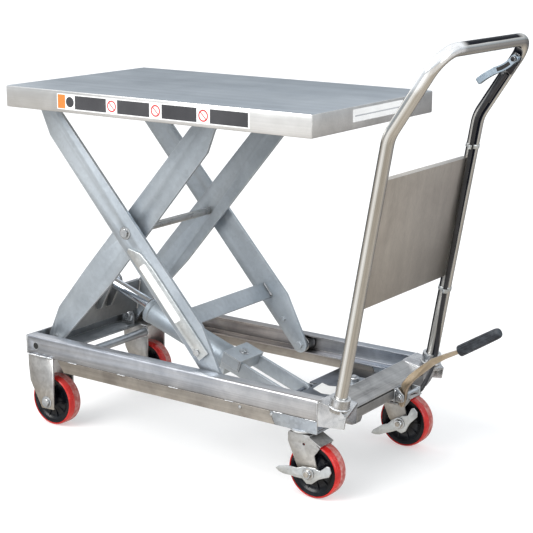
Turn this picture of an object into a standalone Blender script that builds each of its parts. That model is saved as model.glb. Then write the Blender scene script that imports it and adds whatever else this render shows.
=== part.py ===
"""Scissor lift table on castors: fixed wheels at the left end, swivel castors and push handle at the right end.
Metres, +Z up, floor at Z = 0. Shapes are laid out from a datum at the left end of the base rails;
the root empty moves the datum so that the whole table is centred on X."""

import math

import bmesh
import bpy
from mathutils import Matrix, Vector

# ---------------------------------------------------------------- driving dimensions
CENTRE_SHIFT = 0.57460         # from the datum (left end of the rails) to the middle of the whole table

PLATFORM_LEFT, PLATFORM_LEN, PLATFORM_WIDE = -0.0047, 0.855, 0.500
PLATFORM_DEEP, SHEET = 0.050, 0.003
PLATFORM_TOP = 0.839

ARM_SPAN = 0.806               # pivot to pivot
ARM_ANGLE = math.radians(50.0)
PIVOT_X, PIVOT_Z = 0.028, 0.2015
TOP_DROP = 0.0201              # platform top down to the upper pivots
INNER_ARM = (0.1420, 0.1500)   # |y| of the two faces
OUTER_ARM = (0.1670, 0.1750)

RAIL_LEN, RAIL_OUT, RAIL_IN = 0.848, 0.2155, 0.1840
RAIL_LOW, RAIL_TOP, RAIL_T = 0.1780, 0.2250, 0.0035
LOWER_ROLLER_R, UPPER_ROLLER_R = 0.0195, 0.0162

WHEEL_R, WHEEL_WIDE = 0.0625, 0.040
TYRE_BORE = 0.0572
AXLE_R = 0.006
FIXED_WHEEL = (0.0577, 0.1788)
SWIVEL_AXIS = (0.802, 0.194)
SWIVEL_TRAIL = 0.035

EYE = (0.088, 0.330)           # ram eye on the inner arms' cross plate
YOKE_PIVOT = (0.648, 0.142)    # tail pivot of the cylinder on the deck
BARREL_R, ROD_R, BARREL_DROP = 0.030, 0.014, 0.012
GLAND_AT, BARREL_END, ROD_END = 0.137, 0.398, 0.285

TUBE_R = 0.014
FOOT_Y, BEND_Y, CORNER_Y = 0.1985, 0.1936, 0.1919   # |y| of the legs: they draw in a little upwards
TUBE_FOOT = (0.8965, 0.233)
TUBE_LEAN = math.radians(9.92)
TUBE_LOWER = 0.5764            # foot to the first bend
HANDLE_CORNER = (1.1101, 0.9741)

PEDAL_PIVOT = (0.9180, 0.1810)
PEDAL_Y = (0.0230, 0.0305)
GRIP_FROM, GRIP_TO = (1.0566, 0.3125), (1.1495, 0.3706)
PROP_PIVOT = (0.498, 0.260)
LEVER_PIVOT = (1.0937, 0.9326)

# ---------------------------------------------------------------- scene
for old in list(bpy.data.objects):
    bpy.data.objects.remove(old, do_unlink=True)

SCENE = bpy.context.scene
SCENE.unit_settings.system = "METRIC"
SCENE.unit_settings.scale_length = 1.0


def empty(name, at, parent=None):
    made = bpy.data.objects.new(name, None)
    made.empty_display_size = 0.05
    made.location = at
    made.parent = parent
    SCENE.collection.objects.link(made)
    return made


def material(name, colour, rough, metal):
    made = bpy.data.materials.new(name)
    made.use_nodes = True
    shader = made.node_tree.nodes["Principled BSDF"]
    shader.inputs["Base Color"].default_value = (*colour, 1.0)
    shader.inputs["Roughness"].default_value = rough
    shader.inputs["Metallic"].default_value = metal
    made.diffuse_color = (*colour, 1.0)
    return made


STAINLESS = material("brushed_stainless", (0.62, 0.63, 0.65), 0.32, 1.0)
ZINC = material("zinc_plate", (0.58, 0.62, 0.65), 0.42, 1.0)
CHROME = material("polished_tube", (0.72, 0.71, 0.69), 0.14, 1.0)
RED_PU = material("red_polyurethane", (0.62, 0.03, 0.02), 0.35, 0.0)
BLACK = material("black_plastic", (0.015, 0.015, 0.018), 0.45, 0.0)
GREASED = material("turned_steel", (0.45, 0.46, 0.48), 0.30, 1.0)

ROOT = empty("table_root", (-CENTRE_SHIFT, 0.0, 0.0))
BODY_AT = {}
BODY = {}


def body(name, at=(0.0, 0.0, 0.0), parent=None):
    """An empty on the axis that this group of pieces turns or slides on."""
    above = BODY_AT.get(parent, Vector((0.0, 0.0, 0.0)))
    BODY_AT[name] = Vector(at)
    BODY[name] = empty(f"axis_{name}", Vector(at) - above, BODY.get(parent, ROOT))
    return name


# ---------------------------------------------------------------- shapes, all in datum coordinates
def place(plane, a, b, along):
    if plane == "XZ":
        return Vector((a, along, b))
    if plane == "XY":
        return Vector((a, b, along))
    return Vector((along, a, b))


def prism(outline, low, high, plane="XZ", holes=()):
    """A plate: an outline with round or free holes, extruded from low to high across its plane."""
    bm = bmesh.new()
    edges = []
    for loop in (outline, *holes):
        ring = [bm.verts.new(place(plane, a, b, low)) for a, b in loop]
        edges += [bm.edges.new((ring[i], ring[(i + 1) % len(ring)])) for i in range(len(ring))]
    if holes:
        bmesh.ops.triangle_fill(bm, edges=edges, use_beauty=True)
    else:
        bm.faces.new(bm.verts[:])
    faces = bm.faces[:]
    grown = bmesh.ops.extrude_face_region(bm, geom=faces)
    moved = [v for v in grown["geom"] if isinstance(v, bmesh.types.BMVert)]
    bmesh.ops.translate(bm, verts=moved, vec=place(plane, 0.0, 0.0, high - low))
    bmesh.ops.recalc_face_normals(bm, faces=bm.faces[:])
    return bm


def box(x, y, z):
    return prism([(x[0], z[0]), (x[1], z[0]), (x[1], z[1]), (x[0], z[1])], min(y), max(y))


def circle(a, b, r, n=16, start=0.0):
    return [(a + r * math.cos(start + 2 * math.pi * i / n), b + r * math.sin(start + 2 * math.pi * i / n)) for i in range(n)]


def arc(a, b, r, first, last, n):
    return [
        (a + r * math.cos(math.radians(first + (last - first) * i / n)), b + r * math.sin(math.radians(first + (last - first) * i / n)))
        for i in range(n + 1)
    ]


def link(p, rp, q, rq, n=8):
    """Outline of a bar with two round ends."""
    d = Vector((q[0] - p[0], q[1] - p[1]))
    turn = math.degrees(math.atan2(d.y, d.x))
    lean = math.degrees(math.asin((rp - rq) / d.length))
    return arc(q[0], q[1], rq, turn - 90 + lean, turn + 90 - lean, n) + arc(p[0], p[1], rp, turn + 90 - lean, turn + 270 + lean, n)


def hexagon(a, b, r):
    return circle(a, b, r, 6, math.radians(12))


def rod(r, start, end, n=16, turn=0.0):
    """A round bar between two points."""
    start, end = Vector(start), Vector(end)
    way = end - start
    bm = bmesh.new()
    at = Matrix.Translation((start + end) / 2) @ way.to_track_quat("Z", "Y").to_matrix().to_4x4() @ Matrix.Rotation(turn, 4, "Z")
    bmesh.ops.create_cone(bm, cap_ends=True, segments=n, radius1=r, radius2=r, depth=way.length, matrix=at)
    return bm


def lathe(profile, centre, axis, n=32):
    """A closed profile of (radius, distance along the axis) turned round the axis."""
    bm = bmesh.new()
    axis = Vector(axis).normalized()
    side = axis.orthogonal().normalized()
    centre = Vector(centre)
    ring = [bm.verts.new(centre + side * r + axis * a) for r, a in profile]
    edges = [bm.edges.new((ring[i], ring[(i + 1) % len(ring)])) for i in range(len(ring)) if profile[i][0] > 1e-9 or profile[(i + 1) % len(ring)][0] > 1e-9]
    bmesh.ops.spin(bm, geom=ring + edges, cent=centre, axis=axis, angle=2 * math.pi, steps=n, use_duplicate=False)
    bmesh.ops.remove_doubles(bm, verts=bm.verts[:], dist=2e-5)
    bmesh.ops.recalc_face_normals(bm, faces=bm.faces[:])
    return bm


def finish_mesh(bm, at):
    bm.normal_update()
    if bm.calc_volume(signed=True) < 0.0:
        bmesh.ops.reverse_faces(bm, faces=bm.faces[:])
    bmesh.ops.translate(bm, verts=bm.verts[:], vec=-Vector(at))
    mesh = bpy.data.meshes.new("shape")
    bm.to_mesh(mesh)
    bm.free()
    return mesh


TOOLS = [0]


def tool(bm):
    TOOLS[0] += 1
    made = bpy.data.objects.new(f"tool_{TOOLS[0]:03d}", finish_mesh(bm, (0, 0, 0)))
    made.parent = ROOT
    made.hide_render = True
    made.display_type = "WIRE"
    SCENE.collection.objects.link(made)
    return made


def node(name, group, look, bm, add=(), cut=()):
    """One named piece in its group, with the shapes welded to it and those cut from it."""
    at = BODY_AT[group]
    made = bpy.data.objects.new(name, finish_mesh(bm, at))
    made.data.materials.append(look)
    made.parent = BODY[group]
    SCENE.collection.objects.link(made)
    for operation, shapes in (("UNION", add), ("DIFFERENCE", cut)):
        for shape in shapes:
            step = made.modifiers.new(operation.lower(), "BOOLEAN")
            step.operation = operation
            step.solver = "EXACT"
            step.object = tool(shape)
    return made


def round_path(points, radii, n=6):
    """A polyline with each inner corner rounded."""
    path = [Vector(points[0])]
    for i in range(1, len(points) - 1):
        here, before, after = Vector(points[i]), Vector(points[i - 1]), Vector(points[i + 1])
        u, v = (before - here).normalized(), (after - here).normalized()
        half = u.angle(v) / 2
        back = radii[i - 1] / math.tan(half)
        middle = here + (u + v).normalized() * (radii[i - 1] / math.sin(half))
        a, b = here + u * back - middle, here + v * back - middle
        whole = a.angle(b)
        for k in range(n + 1):
            t = k / n
            path.append(middle + (a * math.sin((1 - t) * whole) + b * math.sin(t * whole)) / math.sin(whole))
    path.append(Vector(points[-1]))
    return path


def piped(name, group, look, path, r, sides):
    curve = bpy.data.curves.new(name, "CURVE")
    curve.dimensions = "3D"
    curve.bevel_depth = r
    curve.bevel_resolution = (sides - 4) // 2
    curve.use_fill_caps = True
    curve.twist_mode = "MINIMUM"
    line = curve.splines.new("POLY")
    line.points.add(len(path) - 1)
    for point, where in zip(line.points, path):
        point.co = (*(where - BODY_AT[group]), 1.0)
    curve.materials.append(look)
    made = bpy.data.objects.new(name, curve)
    made.parent = BODY[group]
    SCENE.collection.objects.link(made)
    return made


# ---------------------------------------------------------------- derived places
COS, SIN = math.cos(ARM_ANGLE), math.sin(ARM_ANGLE)
CENTRE = (PIVOT_X + ARM_SPAN / 2 * COS, PIVOT_Z + ARM_SPAN / 2 * SIN)
TOP_PIVOT = (PIVOT_X, PIVOT_Z + ARM_SPAN * SIN)
ROLLER_X = PIVOT_X + ARM_SPAN * COS
HALF = ARM_SPAN / 2

ram = Vector((YOKE_PIVOT[0] - EYE[0], YOKE_PIVOT[1] - EYE[1]))
RAM_LEN = ram.length
RAM_DIR = ram.normalized()
RAM_UP = Vector((-RAM_DIR.y, RAM_DIR.x))


def on_ram(a, n):
    """A place a metres from the eye towards the tail pivot, n metres above that line."""
    p = Vector(EYE) + RAM_DIR * a + RAM_UP * n
    return (p.x, p.y)


def inner(s, p):
    return (CENTRE[0] + s * COS + p * SIN, CENTRE[1] + s * SIN - p * COS)


def outer(s, p):
    return (CENTRE[0] + s * COS + p * SIN, CENTRE[1] - s * SIN + p * COS)


LEAN_DIR = Vector((math.sin(TUBE_LEAN), math.cos(TUBE_LEAN)))
LEAN_OUT = Vector((math.cos(TUBE_LEAN), -math.sin(TUBE_LEAN)))


def on_tube(w, n=0.0):
    p = Vector(TUBE_FOOT) + LEAN_DIR * w + LEAN_OUT * n
    return (p.x, p.y)


def leg_y(w):
    """|y| of a handle leg w metres up from its foot."""
    return FOOT_Y + (BEND_Y - FOOT_Y) * w / TUBE_LOWER


def xyz(p, y):
    return (p[0], y, p[1])


def leg(w, sign):
    return xyz(on_tube(w), sign * leg_y(w))


SIDES = (("near", -1), ("far", 1))

# ---------------------------------------------------------------- groups and their axes
body("base")
body("inner_arms", (PIVOT_X, 0, PIVOT_Z))
body("outer_arms", (CENTRE[0], 0, CENTRE[1]), "inner_arms")
body("platform", (TOP_PIVOT[0], 0, TOP_PIVOT[1]), "outer_arms")
body("cylinder", (YOKE_PIVOT[0], 0, YOKE_PIVOT[1]))
body("ram", (EYE[0], 0, EYE[1]), "cylinder")
body("prop", (PROP_PIVOT[0], 0, PROP_PIVOT[1]), "outer_arms")
body("pedal", (PEDAL_PIVOT[0], 0, PEDAL_PIVOT[1]))
body("plunger", (0.880, sum(PEDAL_Y) / 2, 0.162))
body("release", (LEVER_PIVOT[0], 0, LEVER_PIVOT[1]))
for side, sign in SIDES:
    body(f"upper_roller_{side}", (ROLLER_X, sign * 0.133, TOP_PIVOT[1]), "inner_arms")
    body(f"lower_roller_{side}", (ROLLER_X, sign * 0.1937, PIVOT_Z), "outer_arms")
    body(f"fixed_wheel_{side}", (FIXED_WHEEL[0], sign * FIXED_WHEEL[1], WHEEL_R))
    body(f"swivel_{side}", (SWIVEL_AXIS[0], sign * SWIVEL_AXIS[1], WHEEL_R))
    body(f"swivel_wheel_{side}", (SWIVEL_AXIS[0] + SWIVEL_TRAIL, sign * SWIVEL_AXIS[1], WHEEL_R), f"swivel_{side}")
    body(f"brake_{side}", (SWIVEL_AXIS[0] + SWIVEL_TRAIL, sign * SWIVEL_AXIS[1], WHEEL_R), f"swivel_{side}")


def span(sign, a, b):
    return (min(sign * a, sign * b), max(sign * a, sign * b))


# ---------------------------------------------------------------- base frame
for side, sign in SIDES:
    out, web, lip = RAIL_OUT * sign, (RAIL_OUT - RAIL_T) * sign, RAIL_IN * sign
    section = [(lip, RAIL_LOW), (lip, RAIL_LOW + RAIL_T), (web, RAIL_LOW + RAIL_T), (web, RAIL_TOP - RAIL_T), (lip, RAIL_TOP - RAIL_T), (lip, RAIL_TOP)]
    section += [(out - sign * 0.005, RAIL_TOP), (out - sign * 0.0015, RAIL_TOP - 0.0015), (out, RAIL_TOP - 0.005)]
    section += [(out, RAIL_LOW + 0.003), (out - sign * 0.0009, RAIL_LOW + 0.0009), (out - sign * 0.003, RAIL_LOW)]
    node(
        f"base_rail_{side}", "base", STAINLESS, prism(section, 0.0, RAIL_LEN, "YZ"),
        cut=[rod(0.0078, (PIVOT_X, sign * 0.19, PIVOT_Z), (PIVOT_X, sign * 0.23, PIVOT_Z))],
    )
    node(
        f"rail_stiffener_{side}", "base", STAINLESS,
        prism([(0.0950, 0.1777), (0.1160, 0.1478), (0.7375, 0.1478), (0.7240, 0.1777)], *span(sign, 0.2095, 0.2140)),
    )
    pin = [(0.0070, 0.1232), (0.0070, 0.1508), (0.0120, 0.1508), (0.0120, 0.2115), (0.0070, 0.2115), (0.0070, 0.2135), (0.0, 0.2135), (0.0, 0.1232)]
    node(
        f"base_hinge_pin_{side}", "base", GREASED, lathe(pin, (PIVOT_X, 0, PIVOT_Z), (0, sign, 0), 16),
        add=[prism(hexagon(PIVOT_X, PIVOT_Z, 0.0115), *span(sign, 0.1225, 0.1285))],
    )
    fork = [(0.0010, 0.1777), (0.0010, 0.1500), (0.0050, 0.1100), (0.0410, 0.0455), (0.0805, 0.0470), (0.0820, 0.1777)]
    hole = circle(FIXED_WHEEL[0], WHEEL_R, AXLE_R + 0.0004, 12)
    node(
        f"fixed_fork_{side}", "base", ZINC, prism(fork, *span(sign, 0.2112, 0.2152), holes=[hole]),
        add=[
            prism(fork, *span(sign, 0.1422, 0.1462), holes=[hole]),
            box((0.0014, 0.0816), span(sign, 0.1430, 0.2140), (0.1738, 0.1774)),
        ],
    )
    node(
        f"fixed_axle_{side}", "base", GREASED, rod(AXLE_R, (FIXED_WHEEL[0], sign * 0.1365, WHEEL_R), (FIXED_WHEEL[0], sign * 0.2170, WHEEL_R), 12),
        add=[
            prism(hexagon(FIXED_WHEEL[0], WHEEL_R, 0.0105), *span(sign, 0.2156, 0.2215)),
            prism(hexagon(FIXED_WHEEL[0], WHEEL_R, 0.0105), *span(sign, 0.1350, 0.1418)),
        ],
    )
    mount = [(0.7260, 0.1777), (0.7395, 0.1482), (0.8480, 0.1482), (0.8480, 0.1777)]
    node(
        f"caster_mount_{side}", "base", ZINC, prism(mount, *span(sign, 0.2105, 0.2150)),
        add=[
            box((0.7400, 0.8476), span(sign, 0.1500, 0.2145), (0.1484, 0.1529)),
            rod(0.027, (SWIVEL_AXIS[0], sign * SWIVEL_AXIS[1], 0.1440), (SWIVEL_AXIS[0], sign * SWIVEL_AXIS[1], 0.1500), 24),
        ],
    )
    cheek_line = [(0.8487, 0.1680), (0.8487, 0.2245), (0.9075, 0.2130), (0.9200, 0.2000), (0.9152, 0.1742)]
    lobe = [(0.2120, 0.2020), (0.2120, 0.1920), (0.1960, 0.1850), (0.1800, 0.1745), (0.1640, 0.1680), (0.1500, 0.1662), (0.1462, 0.1662), (0.1462, 0.2040)]
    node(
        f"handle_socket_{side}", "base", ZINC, prism(cheek_line, *span(sign, 0.2115, 0.2155)),
        add=[
            prism([(0.8487, 0.2203), (0.8487, 0.2245), (0.9075, 0.2130), (0.9200, 0.2000), (0.9175, 0.1965), (0.9055, 0.2088)], *span(sign, 0.1460, 0.2155)),
            prism([(0.8487, 0.1700), (0.8487, 0.2245), (0.9040, 0.2055), (0.9040, 0.1700)], *span(sign, 0.1460, 0.1500)),
            box((0.8487, 0.8527), span(sign, 0.1460, 0.2155), (0.1680, 0.2230)),
            prism([(sign * y, z) for y, z in lobe], 0.9010, 0.9045, "YZ"),
            rod(0.0215, leg(-0.0260, sign), leg(0.0040, sign), 24),
        ],
        cut=[
            rod(TUBE_R + 0.0004, leg(-0.0460, sign), leg(0.0200, sign), 20),
            prism([(0.9055, sign * 0.1400), (0.9204, sign * 0.2165), (0.9400, sign * 0.2165), (0.9400, sign * 0.1400)], 0.1500, 0.2300, "XY"),
        ],
    )

ear = [(0.0475, 0.1800)] + arc(PIVOT_X, PIVOT_Z, 0.0195, 0, 180, 8) + [(0.0085, 0.1800)]
ears = [prism(ear, *span(sign, 0.1290, 0.1340), holes=[circle(PIVOT_X, PIVOT_Z, 0.0074, 14)]) for _, sign in SIDES]
node(
    "left_end_plate", "base", STAINLESS, prism([(-0.2148, 0.1785), (0.2148, 0.1785), (0.2148, 0.2246), (-0.2148, 0.2246)], -0.0043, -0.0004, "YZ"),
    add=[box((-0.0020, 0.0620), (-0.1410, 0.1410), (0.1785, 0.1815)), *ears],
)
node("left_cross_tube", "base", ZINC, rod(0.0105, (0.075, -0.1416, 0.161), (0.075, 0.1416, 0.161), 20))
node(
    "end_channel", "base", STAINLESS,
    prism([(0.8503, 0.2240), (0.9020, 0.2062), (0.9050, 0.2030), (0.9050, 0.1775), (0.9010, 0.1775), (0.9010, 0.2025), (0.8503, 0.2198)], -0.1456, 0.1456),
    add=[prism([(sign * y, z) for y, z in ((0.1456, 0.1900), (0.1456, 0.1662), (0.1300, 0.1665), (0.1250, 0.1720), (0.1220, 0.1800), (0.1200, 0.1900))], 0.9010, 0.9048, "YZ") for _, sign in SIDES],
)
deck = [(0.6500, -0.2090), (0.8475, -0.2090), (0.8475, 0.2090), (0.6500, 0.2090), (0.6500, 0.0560), (0.6740, 0.0560), (0.6740, -0.0560), (0.6500, -0.0560)]
lug = arc(*YOKE_PIVOT, 0.0140, 120, 300, 8) + [(0.7000, 0.1500), (0.7000, 0.1560), (0.6700, 0.1560)]
node(
    "deck_plate", "base", STAINLESS, prism(deck, 0.1536, 0.1566, "XY"),
    add=[
        prism(lug, -0.0515, -0.0460), prism(lug, 0.0460, 0.0515),
        rod(0.0068, (YOKE_PIVOT[0], -0.0545, YOKE_PIVOT[1]), (YOKE_PIVOT[0], 0.0545, YOKE_PIVOT[1]), 14),
    ],
)
PY = sum(PEDAL_Y) / 2
node(
    "pump_block", "base", ZINC, box((0.7680, 0.8440), (0.0005, 0.0575), (0.1570, 0.1940)),
    add=[rod(0.0110, (0.7900, 0.0285, 0.1900), (0.7900, 0.0285, 0.2030), 12)],
    cut=[rod(0.0046, (0.8120, PY, 0.1620), (0.8480, PY, 0.1620), 12)],
)
plate_line = [(0.0085, 0.1710), (0.0200, 0.1710), (0.0200, 0.1930), (0.0335, 0.1930), (0.0335, 0.1710), (0.0445, 0.1710), (0.0445, 0.2020), (0.0085, 0.2020)]
bracket = [(0.9056, 0.1710), (0.9056, 0.2020), (0.9120, 0.2020), (0.9270, 0.1880), (0.9270, 0.1730), (0.9220, 0.1710)]
node(
    "pedal_bracket", "base", ZINC, prism(plate_line, 0.9054, 0.9082, "YZ"),
    add=[
        prism(bracket, 0.0150, 0.0190), prism(bracket, 0.0345, 0.0385),
        rod(0.0045, (PEDAL_PIVOT[0], 0.0120, PEDAL_PIVOT[1]), (PEDAL_PIVOT[0], 0.0995, PEDAL_PIVOT[1]), 12),
        prism([(0.9056, 0.1710), (0.9056, 0.1900), (0.9255, 0.1880), (0.9255, 0.1730)], 0.0915, 0.0955),
    ],
)

# ---------------------------------------------------------------- handle
BEND = on_tube(TUBE_LOWER)
corners = [leg(-0.044, -1), xyz(BEND, -BEND_Y), xyz(HANDLE_CORNER, -CORNER_Y), xyz(HANDLE_CORNER, CORNER_Y), xyz(BEND, BEND_Y), leg(-0.044, 1)]
piped("handle_tube", "base", CHROME, round_path(corners, [0.085, 0.055, 0.055, 0.085], 6), TUBE_R, 14)


def on_panel(w, n, y):
    p = on_tube(w, n)
    return Vector((p[0], y, p[1]))


def panel_box(w, n, y):
    bm = bmesh.new()
    bmesh.ops.create_cube(bm, size=1.0)
    for v in bm.verts:
        v.co = on_panel(w[v.co.x > 0], n[v.co.z > 0], y[v.co.y > 0])
    bmesh.ops.recalc_face_normals(bm, faces=bm.faces[:])
    return bm


node(
    "handle_panel", "base", STAINLESS, panel_box((0.200, 0.482), (-0.0120, 0.0010), (-0.1795, 0.1795)),
    cut=[panel_box((0.202, 0.480), (-0.0300, -0.0008), (-0.1775, 0.1775))],
)
UPPER_DIR = (Vector(HANDLE_CORNER) - Vector(BEND)).normalized()


def on_upper(w, n=0.0):
    """A place w metres up the handle's upper leg from the lever pivot, n metres to its upper side."""
    p = Vector(LEVER_PIVOT) + UPPER_DIR * w + Vector((-UPPER_DIR.y, UPPER_DIR.x)) * n
    return (p.x, p.y)


tab = [on_upper(-0.038, -0.010), on_upper(0.006, -0.010), on_upper(0.009, 0.004), on_upper(0.004, 0.010), on_upper(-0.038, 0.006)]
node(
    "release_bracket", "base", ZINC, prism(tab, 0.1690, 0.1734),
    add=[
        rod(0.0030, xyz(LEVER_PIVOT, 0.1500), xyz(LEVER_PIVOT, 0.1700), 10),
        rod(0.0060, xyz(LEVER_PIVOT, 0.1485), xyz(LEVER_PIVOT, 0.1518), 10),
    ],
)
CABLE_R = 0.0050


def beside(w):
    """|y| of a cable lying against the inner face of a leg."""
    return leg_y(w) - TUBE_R - CABLE_R - 0.0006


cable = [
    xyz(on_upper(-0.0500, 0.0075), 0.1727), xyz(on_tube(TUBE_LOWER + 0.002, 0.0060), beside(TUBE_LOWER)), xyz(on_tube(0.420, 0.0066), beside(0.420)),
    xyz(on_tube(0.150, 0.0110), beside(0.150)), xyz(on_tube(0.085, 0.0140), 0.1765), (0.9194, 0.1760, 0.2405), (0.9230, 0.1480, 0.2120), (0.9225, 0.1200, 0.1880),
    (0.9190, 0.1080, 0.1740), (0.8950, 0.0980, 0.1640), (0.8460, 0.0850, 0.1670), (0.8200, 0.0790, 0.1720), (0.8160, 0.0630, 0.1720),
]
piped("release_cable", "base", BLACK, round_path(cable, [0.085, 0.30, 0.15, 0.08, 0.04, 0.03, 0.03, 0.012, 0.03, 0.04, 0.008], 3), CABLE_R, 8)

# ---------------------------------------------------------------- wheels
half = WHEEL_WIDE / 2
edge = [(TYRE_BORE, half - 0.0010), (0.0578, half), (0.0600, half - 0.0015), (0.0615, half - 0.0050), (WHEEL_R, half - 0.0120)]
TYRE = [(r, -a) for r, a in edge] + [(r, a) for r, a in reversed(edge)]


def hub(boss):
    side = [(0.0064, boss), (0.0150, boss), (0.0165, 0.0175), (0.0205, 0.0150), (0.0400, 0.0115), (0.0485, 0.0170), (TYRE_BORE - 0.0003, 0.0186)]
    return [(r, -a) for r, a in side] + [(r, a) for r, a in reversed(side)]


for side, sign in SIDES:
    for kind, boss, where in (
        ("fixed", 0.0318, (FIXED_WHEEL[0], sign * FIXED_WHEEL[1], WHEEL_R)),
        ("swivel", 0.0221, (SWIVEL_AXIS[0] + SWIVEL_TRAIL, sign * SWIVEL_AXIS[1], WHEEL_R)),
    ):
        node(f"{kind}_tyre_{side}", f"{kind}_wheel_{side}", RED_PU, lathe(TYRE, where, (0, 1, 0), 40))
        node(f"{kind}_hub_{side}", f"{kind}_wheel_{side}", BLACK, lathe(hub(boss), where, (0, 1, 0), 28))

# ---------------------------------------------------------------- swivel forks and side brakes
WX = SWIVEL_AXIS[0] + SWIVEL_TRAIL
cheek = [(0.7766, 0.1434), (0.7766, 0.1219), (0.8017, 0.0680), (0.8190, 0.0490)] + arc(WX, WHEEL_R, 0.0170, 250, 350, 4)
cheek += [(0.8500, 0.0790), (0.8445, 0.1010), (0.8500, 0.1080), (0.8582, 0.1195), (0.8440, 0.1305), (0.8318, 0.1384), (0.8318, 0.1434)]
BRAKE = [
    (-0.0864, -0.0060), (-0.0786, 0.0004), (-0.0502, 0.0064), (-0.0306, 0.0060), (-0.0155, 0.0123), (0.0144, 0.0153), (0.0293, 0.0120),
    (0.0460, 0.0262), (0.0523, 0.0257), (0.0570, 0.0136), (0.0525, 0.0032), (0.0273, -0.0074), (0.0188, -0.0141), (0.0082, -0.0227),
    (-0.0046, -0.0244), (-0.0154, -0.0150), (-0.0306, -0.0156), (-0.0479, -0.0146), (-0.0654, -0.0148), (-0.0764, -0.0120),
]
for side, sign in SIDES:
    wy = sign * SWIVEL_AXIS[1]
    spy = circle(0.8177, 0.1222, 0.0036, 10)
    node(
        f"swivel_fork_{side}", f"swivel_{side}", ZINC, prism(cheek, wy - 0.0255, wy - 0.0225, holes=[spy]),
        add=[
            prism(cheek, wy + 0.0225, wy + 0.0255, holes=[spy]),
            box((0.7772, 0.8312), (wy - 0.0250, wy + 0.0250), (0.1396, 0.1430)),
            prism([(0.8300, 0.1366), (0.8318, 0.1400), (0.8614, 0.1250), (0.8598, 0.1224)], wy - 0.0262, wy + 0.0262),
            rod(AXLE_R, (WX, wy - 0.0470, WHEEL_R), (WX, wy + 0.0290, WHEEL_R), 12),
            prism(hexagon(WX, WHEEL_R, 0.0095), wy + 0.0250, wy + 0.0310),
            rod(0.0105, (WX, wy - 0.0315, WHEEL_R), (WX, wy - 0.0250, WHEEL_R), 16),
            rod(0.0110, (WX, wy - 0.0380, WHEEL_R), (WX, wy - 0.0365, WHEEL_R), 16),
            prism(hexagon(WX, WHEEL_R, 0.0098), wy - 0.0445, wy - 0.0376),
        ],
    )
    tilt = Matrix.Rotation(math.radians(24.0 if side == "far" else 0.0), 2)
    shape = [tuple(Vector((WX, WHEEL_R)) + tilt @ Vector(p)) for p in BRAKE]
    node(
        f"brake_lever_{side}", f"brake_{side}", ZINC,
        prism(shape, wy - 0.0360, wy - 0.0320, holes=[circle(WX, WHEEL_R, AXLE_R + 0.0004, 12)]),
    )

# ---------------------------------------------------------------- scissor arms
base_end = arc(-HALF, 0, 0.0200, -105, -255, 7)
inner_line = base_end + [(-0.3700, 0.0190), (-0.1500, 0.0350), (0.2980, 0.0375), (0.3504, 0.0200)]
inner_line += arc(HALF, 0, 0.0158, 75, -75, 6) + [(0.3080, -0.0318), (-0.1800, -0.0430), (-0.3228, -0.0424)]
outer_line = arc(-HALF, 0, 0.0125, -105, -255, 6) + [(-0.3200, 0.0235), (0.2850, 0.0490)]
outer_line += arc(HALF, 0, 0.0200, 70, -75, 7) + [(0.3550, -0.0215), (-0.3050, -0.0405)]
for side, sign in SIDES:
    a, b = INNER_ARM
    node(
        f"inner_arm_{side}", "inner_arms", ZINC,
        prism([inner(*p) for p in inner_line], *span(sign, a, b), holes=[circle(PIVOT_X, PIVOT_Z, 0.0074, 14), circle(*CENTRE, 0.0094, 16)]),
        add=[
            rod(0.0060, (ROLLER_X, sign * 0.1232, TOP_PIVOT[1]), (ROLLER_X, sign * 0.1530, TOP_PIVOT[1]), 12),
            rod(0.0090, (ROLLER_X, sign * 0.1490, TOP_PIVOT[1]), (ROLLER_X, sign * 0.1540, TOP_PIVOT[1]), 12),
            rod(0.0085, (ROLLER_X, sign * 0.1224, TOP_PIVOT[1]), (ROLLER_X, sign * 0.1250, TOP_PIVOT[1]), 12),
        ],
    )
    node(
        f"upper_roller_{side}", f"upper_roller_{side}", GREASED,
        lathe([(0.0064, 0.1256), (0.0154, 0.1256), (UPPER_ROLLER_R, 0.1268), (UPPER_ROLLER_R, 0.1400), (0.0154, 0.1412), (0.0064, 0.1412)], (ROLLER_X, 0, TOP_PIVOT[1]), (0, sign, 0), 24),
    )
    a, b = OUTER_ARM
    studs = [
        rod(0.0070, (ROLLER_X, sign * 0.1660, PIVOT_Z), (ROLLER_X, sign * 0.2112, PIVOT_Z), 14),
        prism(hexagon(ROLLER_X, PIVOT_Z, 0.0100), *span(sign, 0.1615, 0.1680)),
        prism(hexagon(*PROP_PIVOT, 0.0070), *span(sign, 0.1630, 0.1680)),
        rod(0.0050, xyz(PROP_PIVOT, sign * 0.1740), xyz(PROP_PIVOT, sign * 0.1830), 12),
        rod(0.0070, xyz(PROP_PIVOT, sign * 0.1818), xyz(PROP_PIVOT, sign * 0.1837), 12),
    ]
    node(
        f"outer_arm_{side}", "outer_arms", ZINC,
        prism([outer(*p) for p in outer_line], *span(sign, a, b), holes=[circle(*TOP_PIVOT, 0.0064, 12), circle(*CENTRE, 0.0094, 16)]),
        add=studs if side == "near" else studs[:3],
    )
    node(
        f"lower_roller_{side}", f"lower_roller_{side}", GREASED,
        lathe([(0.0074, 0.1787), (0.0150, 0.1787), (LOWER_ROLLER_R, 0.1800), (LOWER_ROLLER_R, 0.1862), (0.0178, 0.1880), (0.0178, 0.2050), (LOWER_ROLLER_R, 0.2065), (LOWER_ROLLER_R, 0.2090), (0.0074, 0.2090)], (ROLLER_X, 0, PIVOT_Z), (0, sign, 0), 24),
    )
shaft = [(0.0, -0.1805), (0.0070, -0.1805), (0.0100, -0.1785), (0.0100, -0.1755), (0.0090, -0.1755), (0.0090, -0.1666), (0.0140, -0.1666), (0.0140, -0.1504), (0.0090, -0.1504)]
shaft += [(r, -a) for r, a in reversed(shaft)]
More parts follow.
